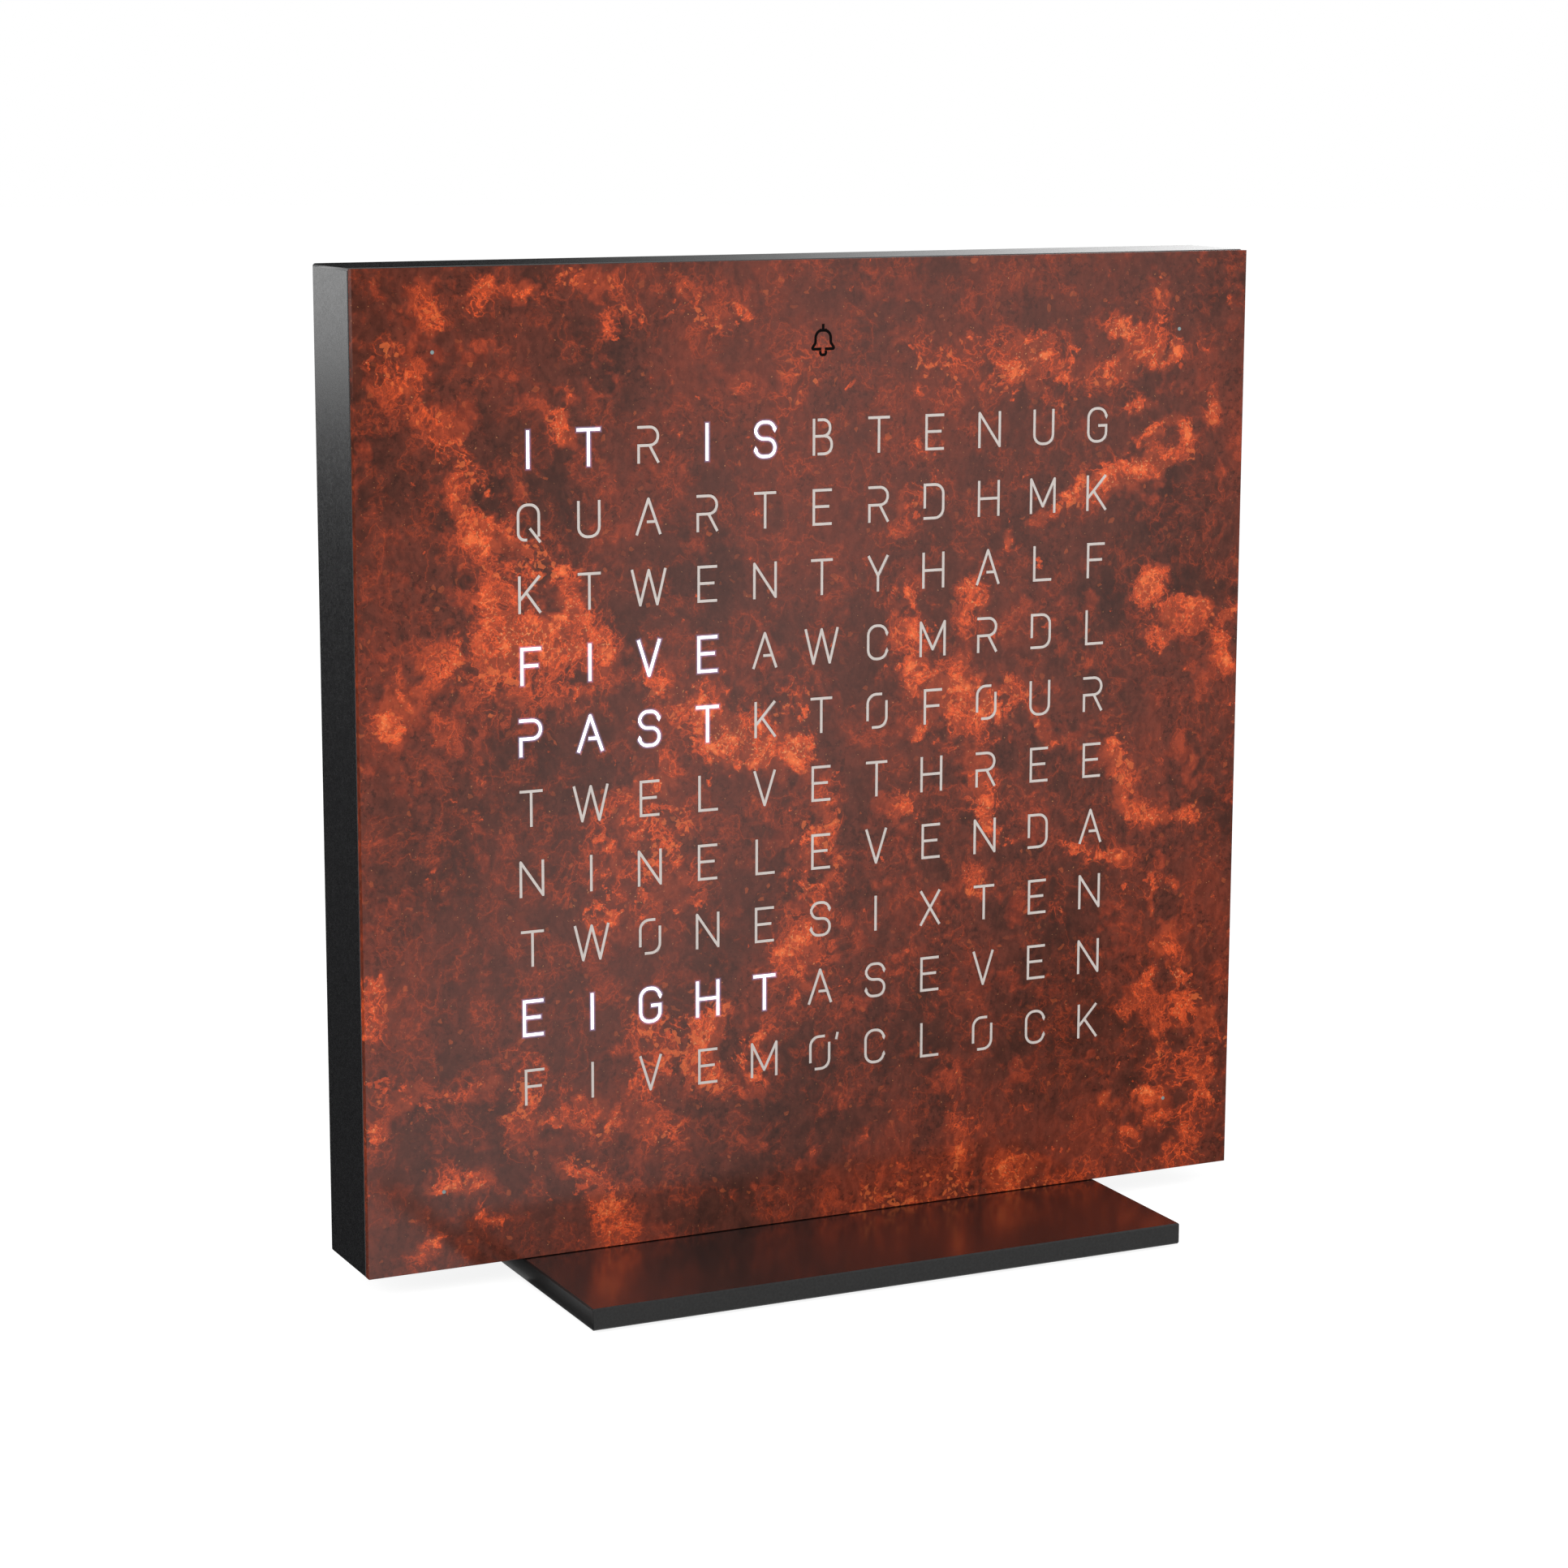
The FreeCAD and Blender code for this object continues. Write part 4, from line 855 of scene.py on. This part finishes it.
def makeFace():
    sheets = []
    for row, column in letterPlaces:
        text = dial["rows"][row]
        withMark = text[column:column + 6] == "OCLOCK"
        points, *rest = letterCell(text[column], isLit(row, column), withMark)
        sheets.append((points + cellMiddle(row, column), *rest))
    points, depth, steel, bell, dots = outerSheet()
    outer = (points, depth, np.zeros(len(points)), steel, np.concatenate([bell, dots]))
    across, sheetDepth, paintedGlow, plateFaces, _ = joinSheets(sheets + [outer])
    marks = {"paintedGlow": paintedGlow, "fresh": runStrength(across, rust["freshRuns"]),
             "shade": runStrength(across, rust["groundRuns"]),
             "waxAndPaintedVeil": rust["waxLeast"] + runStrength(across, rust["waxRuns"])}
    plate = thickSheet("rusted_face", across, sheetDepth, plateFaces, finishes["rust"], marks)
    fit(plate, "cover", "front_cover")
    for name, wanted, finish in (("lit_letters", True, "litPane"), ("dark_letters", False, "pane")):
        chosen = [sheet for sheet, place in zip(sheets, letterPlaces) if isLit(*place) == wanted]
        paneAcross, _, _, _, paneFaces = joinSheets(chosen)
        flat = np.full(len(paneAcross), dial["paneDepth"])
        fit(thickSheet(name, paneAcross, flat, paneFaces, finishes[finish]), "cover", None)
    for name, faces, below, finish in (("minute_dots", dots, dial["paneDepth"], "dotPane"),
                                       ("bell_sign", bell, bellSign["depth"], "bellInk")):
        flat = np.full(len(points), below)
        fit(thickSheet(name, points, flat, faces, finishes[finish]), "cover", None)
    return plate


plate = makeFace()
print("face made:", len(plate.data.polygons), "faces")


# turned parts: screws and buttons

turning = {
    "sides": 48,
    "screwThreadDepth": 0.24,
    "threadRows": 8,            # rows of points in one pitch of the thread
    "panelScrews": {"thread": 2.5, "head": 4.6, "length": 6.0, "pitch": 0.45, "flats": 1.5, "recess": 0.9},
    "standScrews": {"thread": 3.0, "head": 5.6, "length": 8.0, "pitch": 0.5, "flats": 1.5, "recess": 0.9},
    "button": {"width": 8.0, "flange": 10.0, "flangeThickness": 0.8, "dish": 0.3, "edge": 0.3,
               "ringStep": 0.18, "ringHeight": 0.012},
}


def carryRound(radii, heights, sides):
    # rings of a turned part: the point at height h and angle a is (r cos a, r sin a, h), where r may change
    # from angle to angle; the first and last ring shrink to the axis and close it
    angles = roundAngles(sides)
    radii = np.broadcast_to(radii, (len(heights), sides))
    heights = np.broadcast_to(np.asarray(heights, float)[:, None], radii.shape)
    points = np.stack([radii * np.cos(angles), radii * np.sin(angles), heights], -1).reshape(-1, 3)
    return points, ringFaces(len(radii), sides)


def screwShape(sizes):
    # a countersunk screw along the third axis: a hexagon recess, a cone and a thread whose radius swings
    # between crest and root with the angle and the height, and fades out under the head and at the tip
    sides = turning["sides"]
    angles = roundAngles(sides)
    hexagon = sizes["flats"] / 2 / np.cos((angles + math.pi / 6) % (math.pi / 3) - math.pi / 6)
    shank, head, recess = sizes["thread"] / 2, sizes["head"] / 2, sizes["recess"]
    cone = head - shank
    rows = [(0, recess), (hexagon * 0.96, recess), (hexagon, recess - 0.04), (hexagon, 0.07),
            (hexagon + 0.07, 0.0), (head - 0.08, 0.0), (head - 0.015, 0.03), (head - 0.06, 0.09),
            (shank + 0.05, cone - 0.05), (shank - 0.02, cone + 0.05)]
    count = int((sizes["length"] - cone - 0.1) / sizes["pitch"] * turning["threadRows"])
    heights = np.linspace(cone + 0.1, sizes["length"], count)
    phase = (heights[:, None] / sizes["pitch"] - angles / (2 * math.pi)) % 1
    cut = np.clip(1.25 - 2.5 * np.abs(phase - 0.5), 0, 1)
    fade = np.clip((heights - cone - 0.1) / 0.5, 0, 1)[:, None]
    taper = np.clip((heights - sizes["length"] + 0.35) / 0.35, 0, 1)[:, None]
    thread = shank - 0.01 - turning["screwThreadDepth"] * np.maximum(cut * fade, taper)
    radii = np.vstack([np.broadcast_to(radius, sides) for radius, _ in rows] + [thread, 0 * angles])
    levels = np.concatenate([[level for _, level in rows], heights, [sizes["length"]]])
    return carryRound(radii, levels, sides)


def buttonShape(sizes, top, bottom):
    # a push button along the third axis: a dish with a few turned rings, a rounded edge, the barrel, and at
    # its foot a square flange, whose radius at angle a is half its width / max(|cos a|, |sin a|)
    half, edge = sizes["width"] / 2, sizes["edge"]
    dish = np.linspace(0, half - edge, 34)
    deep = sizes["dish"] * (1 - (dish / (half - edge)) ** 2)
    turned = sizes["ringHeight"] * np.cos(2 * math.pi * dish / sizes["ringStep"]) * (dish > 0.1)
    swing = np.linspace(0, math.pi / 2, 7)[1:]
    step = bottom + sizes["flangeThickness"]
    sides = 2 * turning["sides"]
    angles = roundAngles(sides)
    square = sizes["flange"] / 2 / np.maximum(np.abs(np.cos(angles)), np.abs(np.sin(angles)))
    barrel = np.concatenate([dish, half - edge + edge * np.sin(swing), [half, half]])
    flange = np.array([0.98, 1, 1, 0.98, 0])[:, None] * square
    radii = np.vstack([np.repeat(barrel[:, None], sides, axis=1), flange])
    foot = [step + 0.05, step, step, step - 0.1, bottom + 0.1, bottom, bottom]
    levels = np.concatenate([top - deep - sizes["ringHeight"] + turned,
                             top - edge + edge * np.cos(swing), foot])
    return carryRound(radii, levels, sides)


def makeTurned(name, node, shape, places, towards, body, finish):
    # copies of one turned shape at their places; towards is "rear", with the shape's axis along the depth,
    # "front", the same turned back, or "up"
    points, faces = shape
    deep = points[:, [0, 2, 1]]
    ways = {"rear": (deep, 1), "front": (deep * (1, -1, 1), -1), "up": (points, 1)}
    laid, turn = ways[towards]
    every = np.concatenate([laid + place for place in places])
    steps = np.arange(len(places))[:, None, None] * len(points)
    piece = addMesh(name, every, (faces[None] + steps).reshape(-1, 4)[:, ::turn], finishes[finish])
    tidyMesh(piece)
    piece.data.shade_smooth()
    piece.data.set_sharp_from_angle(angle=math.radians(35))
    fit(piece, body, node)


def makeFasteners():
    low, high = (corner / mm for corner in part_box("panel_screws"))
    sizes = turning["panelScrews"]
    inset = sizes["head"] / 2
    across, up = ((low[k] + inset, high[k] - inset) for k in (0, 2))
    places = [(x, high[1], z) for x in across for z in up]
    makeTurned("panel_screws_cut", "panel_screws", screwShape(sizes), places, "front", "clock_case",
               "blackened")
    low, high = (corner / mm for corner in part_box("stand_screws"))
    sizes = turning["standScrews"]
    inset = sizes["head"] / 2
    places = [(x, (low[1] + high[1]) / 2, low[2]) for x in (low[0] + inset, high[0] - inset)]
    makeTurned("stand_screws_cut", "stand_screws", screwShape(sizes), places, "up", "clock_case",
               "zinc")


def makeButtons():
    for key in ("hour", "minute", "alarm"):
        low, high = (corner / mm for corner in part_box(key + "_button"))
        middle = (low + high) / 2
        shape = buttonShape(turning["button"], high[1], low[1])
        makeTurned(key + "_button_turned", key + "_button", shape, [(middle[0], 0, middle[2])], "rear",
                   key + "_key", "button")


makeFasteners()
makeButtons()
print("screws and buttons made")


# the lamps behind the letters

package = {
    "letter": {"size": (2.8, 0.8, 3.5), "window": 1.12},
    "small": {"size": (1.6, 0.6, 0.8), "window": 0.3},
    "sides": 12,
    "edge": 0.08,               # height of the bevel round the front
    "frontShare": 0.94,         # size of the front within that bevel
    "windowDepth": 0.12,
    "windowFloor": 0.88,        # size of the window's floor
    "dome": 0.06,
}


def windowCircle():
    angles = roundAngles(package["sides"], math.pi / package["sides"])
    return np.stack([np.cos(angles), np.sin(angles)], 1)


def stackRings(rings):
    # rings of points across and up, each at its own depth
    return np.concatenate([np.column_stack([ring[:, 0], np.full(len(ring), depth), ring[:, 1]])
                           for ring, depth in rings])


def packageShape(sizes):
    # one package: rings that go from the outline of its box to the circle of its window
    width, depth, height = sizes["size"]
    sides = package["sides"]
    circle = windowCircle()
    corners = circle / np.abs(circle).max(1)[:, None] * (width / 2, height / 2)
    window = circle * sizes["window"]
    rings = [(corners, 0.0), (corners, package["edge"] - depth), (corners * package["frontShare"], -depth),
             (window, -depth), (window * package["windowFloor"], package["windowDepth"] - depth)]
    caps = np.stack([np.arange(sides)[::-1], np.arange(sides) + (len(rings) - 1) * sides])
    return stackRings(rings), [ringFaces(len(rings), sides), caps]


def windowShape(sizes):
    # the phosphor in the window: a low dome of one ring and a middle point over a flat back
    sides = package["sides"]
    circle = windowCircle() * sizes["window"] * package["windowFloor"]
    floor, dome = package["windowDepth"] - sizes["size"][1], package["dome"]
    rings = [(circle, floor + 0.02), (circle, floor - 0.005), (circle * 0.55, floor - dome)]
    points = np.concatenate([stackRings(rings), [[0, floor - dome * 1.2, 0]]])
    side = np.arange(sides)
    lastRing = (len(rings) - 1) * sides
    tip = np.stack([side, (side + 1) % sides, np.full(sides, sides)], 1) + lastRing
    return points, [ringFaces(len(rings), sides), tip, side[None, ::-1]]


def repeatShape(name, shape, places, finish, node):
    # copies of one shape at their places, as one piece
    points, groups = shape
    steps = np.arange(len(places))[:, None, None] * len(points)
    every = (points[None] + np.asarray(places, float)[:, None]).reshape(-1, 3)
    faces = [(group[None] + steps).reshape(-1, group.shape[1]) for group in groups]
    piece = addMesh(name, every, faces, finishes[finish])
    tidyMesh(piece)
    fit(piece, "clock_case", node)


def makeLetterLamps():
    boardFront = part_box("led_board")[0][1] / mm
    lit, dark = [], []
    for row, column in letterPlaces:
        across, up = cellMiddle(row, column)
        (lit if isLit(row, column) else dark).append((across, boardFront, faceMiddle[2] + up))
    repeatShape("letter_lamps", packageShape(package["letter"]), lit + dark, "ledCase", "letter_leds")
    repeatShape("lit_windows", windowShape(package["letter"]), lit, "litPhosphor", None)
    repeatShape("dark_windows", windowShape(package["letter"]), dark, "phosphor", None)
    for node, name in (("minute_leds", "minute_lamps"), ("bell_led", "bell_lamp")):
        low, high = (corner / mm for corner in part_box(node))
        half = np.array(package["small"]["size"]) / 2
        across, up = (sorted({round(low[k] + half[k], 3), round(high[k] - half[k], 3)}) for k in (0, 2))
        places = [(x, boardFront, z) for x in across for z in up]
        repeatShape(name, packageShape(package["small"]), places, "ledCase", node)
        repeatShape(name + "_windows", windowShape(package["small"]), places, "phosphor", None)


makeLetterLamps()
print("lamps made")


# the case and the rear panel with their edges broken, as filing and moulding leave them

broken = {
    "caseEdge": 0.14,
    "panelEdge": 0.1,
    "steps": 2,
    "leastTurn": 40,            # edges that turn by more than this many degrees are rounded
    "flat": 0.6,                # faces that turn by less than this are one face
    "wallReach": 0.45,          # how far inside the outer walls an edge still counts as outer
}


def breakEdges(name, node, width, chosen):
    # a copy of a CAD piece, merged and with its flat faces whole again, whose chosen edges are rounded
    piece = bpy.data.objects.new(name, nodes[node].data.copy())
    bpy.context.scene.collection.objects.link(piece)
    form = bmesh.new()
    form.from_mesh(piece.data)
    bmesh.ops.remove_doubles(form, verts=form.verts, dist=1e-6)
    bmesh.ops.dissolve_limit(form, angle_limit=math.radians(broken["flat"]), verts=form.verts,
                             edges=form.edges)
    edges = [edge for edge in form.edges
             if len(edge.link_faces) == 2 and edge.calc_face_angle(0) > math.radians(broken["leastTurn"])
             and chosen(*(np.array(end.co) / mm for end in edge.verts))]
    bmesh.ops.bevel(form, geom=edges, offset=width * mm, segments=broken["steps"], profile=0.5,
                    affect="EDGES", clamp_overlap=True)
    form.to_mesh(piece.data)
    form.free()
    fit(piece, "clock_case", node)
    print(name, "rounded edges:", len(edges))


def makeBrokenEdges():
    low, high = (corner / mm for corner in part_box("housing_frame"))
    walls = np.array([low, high])
    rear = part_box("back_panel")[1][1] / mm

    def onOutside(first, second):
        # both ends on the outer walls and on the front or rear rim
        for point in (first, second):
            gaps = np.abs(walls - point)
            if gaps[:, [0, 2]].min() > broken["wallReach"] or gaps[:, 1].min() > 1e-3:
                return False
        return abs(first[1] - second[1]) < 1e-3

    def onRear(first, second):
        return abs(first[1] - rear) < 1e-3 and abs(second[1] - rear) < 1e-3

    breakEdges("case_frame", "housing_frame", broken["caseEdge"], onOutside)
    breakEdges("rear_panel", "back_panel", broken["panelEdge"], onRear)


makeBrokenEdges()
print("edges broken")


# the room: a pale floor, a white backdrop and soft lamps

studio = {
    "floorRadius": 4.0,
    "floorSides": 96,
    "floorLit": 0.86,           # grey of the floor for the rays that light the object
    "floorSeen": (0.3, 0.88),   # its grey and its own light where it is seen
    "worldStrength": 0.5,
    "camera": (-0.23247, -0.47842, 0.16457),
    "azimuth": -25.71,
    "elevation": 10.62,
    "roll": 0.153,
    "focalLength": 88.35,
    # lamps: place, target, width, height, power in watts
    "lamps": [((-0.5, -0.9, 0.9), (0, 0, 0.07), 0.7, 0.7, 7.4),
              ((0.9, -0.5, 0.5), (0, 0, 0.07), 0.5, 0.8, 3.2),
              ((-0.9, 0.35, 0.5), (0, 0, 0.1), 0.6, 0.5, 5.0)],
    # cards that only gloss can see, by their corners: one behind that pales from left to right, two on the
    # floor that lie left of the paling and so are dark, and a pale one far off on the left
    "cards": {"cardBehind": [(-0.1, 0.6, 0.02), (0.75, 0.6, 0.02), (0.75, 0.6, 0.6), (-0.1, 0.6, 0.6)],
              "cardFar": [(-1.6, 1.5, 0.0), (-0.3, 1.5, 0.0), (-0.3, 1.5, 1.2), (-1.6, 1.5, 1.2)],
              "cardBeside": [(-1.2, -0.0075, 0.0005), (-0.046, -0.0075, 0.0005), (-0.046, 1.5, 0.0005),
                             (-1.2, 1.5, 0.0005)],
              "cardAtStand": [(-0.0487, -0.06, 0.0005), (-0.0452, -0.06, 0.0005), (-0.0452, -0.0075, 0.0005),
                              (-0.0487, -0.0075, 0.0005)]},
    "paling": (0.17, 0.46, 2.2),    # where the card behind begins and ends to pale, and its end strength
    "farStrength": 1.6,
}


def seenDirectly(tree):
    # 1 for rays from the camera, off gloss and through glass, 0 for the rays that light the object
    path = put(tree, "LightPath").outputs
    seen = calc(tree, "MAXIMUM", path["Is Camera Ray"], path["Is Glossy Ray"])
    return calc(tree, "MAXIMUM", seen, path["Is Transmission Ray"])


def bareMaterial(name):
    # a new material without its Principled shader, and the socket that its surface goes to
    material = bpy.data.materials.new(name)
    material.use_nodes = True
    tree = material.node_tree
    tree.nodes.remove(tree.nodes["Principled BSDF"])
    return material, tree, tree.nodes["Material Output"].inputs["Surface"]


def makeFloor():
    # a disc: a ring of points about the middle point
    sides = studio["floorSides"]
    angles = roundAngles(sides)
    ring = np.stack([np.cos(angles), np.sin(angles), 0 * angles], 1) * studio["floorRadius"] / mm
    index = np.arange(sides)
    faces = np.stack([index, (index + 1) % sides, np.full(sides, sides)], 1)
    material, tree, surface = bareMaterial("paleFloor")
    seen = seenDirectly(tree)
    seenGrey, seenLight = studio["floorSeen"]
    grey = spread(tree, seen, 0, 1, studio["floorLit"], seenGrey)
    greyColour = put(tree, "CombineColor", {0: grey, 1: grey, 2: grey}).outputs[0]
    diffuse = put(tree, "BsdfDiffuse", {"Color": greyColour})
    light = put(tree, "Emission", {"Color": (1, 1, 1, 1), "Strength": times(tree, seen, seenLight)})
    both = put(tree, "AddShader", {0: diffuse.outputs[0], 1: light.outputs[0]})
    tree.links.new(both.outputs[0], surface)
    floor = addMesh("floor", np.concatenate([ring, [[0, 0, 0]]]), faces, material)


def makeWorld():
    world = bpy.data.worlds.new("paleRoom")
    bpy.context.scene.world = world
    world.use_nodes = True
    tree = world.node_tree
    background = tree.nodes["Background"]
    background.inputs["Color"].default_value = (1, 1, 1, 1)
    strength = spread(tree, seenDirectly(tree), 0, 1, studio["worldStrength"], 1.0)
    join(strength, background, "Strength")


def glowMaterial(name):
    # a white light-giving material, and the socket of its strength
    material, tree, surface = bareMaterial(name)
    light = put(tree, "Emission", {"Color": (1, 1, 1, 1)})
    tree.links.new(light.outputs[0], surface)
    return material, tree, light.inputs["Strength"]


def makeCards():
    # flat cards, seen in gloss alone: behind the case, on the floor beside it and far off
    paling, tree, strength = glowMaterial("palingCard")
    start, end, most = studio["paling"]
    across = put(tree, "SeparateXYZ", {0: put(tree, "TexCoord").outputs["Object"]}).outputs["X"]
    share = calc(tree, "MULTIPLY", calc(tree, "SUBTRACT", across, start), 1 / (end - start), clamp=True)
    tree.links.new(times(tree, calc(tree, "POWER", share, 2.0), most), strength)
    pale, _, strength = glowMaterial("paleCard")
    strength.default_value = studio["farStrength"]
    for name, corners in studio["cards"].items():
        card = addMesh(name, np.array(corners, float) / mm, np.array([[0, 1, 2, 3]]),
                       pale if name == "cardFar" else paling)
        card.visible_camera = card.visible_diffuse = card.visible_shadow = card.visible_transmission = False


def makeSoftLamps():
    for index, (place, target, width, height, power) in enumerate(studio["lamps"]):
        data = bpy.data.lights.new(f"softLamp{index}", "AREA")
        data.shape = "RECTANGLE"
        data.size, data.size_y, data.energy = width, height, power
        lamp = bpy.data.objects.new(data.name, data)
        lamp.location = place
        lamp.rotation_euler = (Vector(target) - Vector(place)).to_track_quat("-Z", "Y").to_euler()
        bpy.context.scene.collection.objects.link(lamp)


def makeCamera():
    data = bpy.data.cameras.new("camera")
    data.lens, data.sensor_width = studio["focalLength"], 36.0
    data.clip_start, data.clip_end = 0.01, 50
    camera = bpy.data.objects.new("camera", data)
    turn, lift, roll = (math.radians(studio[k]) for k in ("azimuth", "elevation", "roll"))
    back = Vector((math.sin(turn) * math.cos(lift), -math.cos(turn) * math.cos(lift), math.sin(lift)))
    right = (-back).cross(Vector((0, 0, 1))).normalized()
    up = right.cross(-back)
    level = Matrix((right * math.cos(roll) + up * math.sin(roll),
                    -right * math.sin(roll) + up * math.cos(roll), back)).transposed()
    camera.matrix_world = Matrix.Translation(studio["camera"]) @ level.to_4x4()
    bpy.context.scene.collection.objects.link(camera)
    bpy.context.scene.camera = camera


makeFloor()
makeWorld()
makeCards()
makeSoftLamps()
makeCamera()
bpy.context.scene.view_settings.view_transform = "Standard"
print("room made")
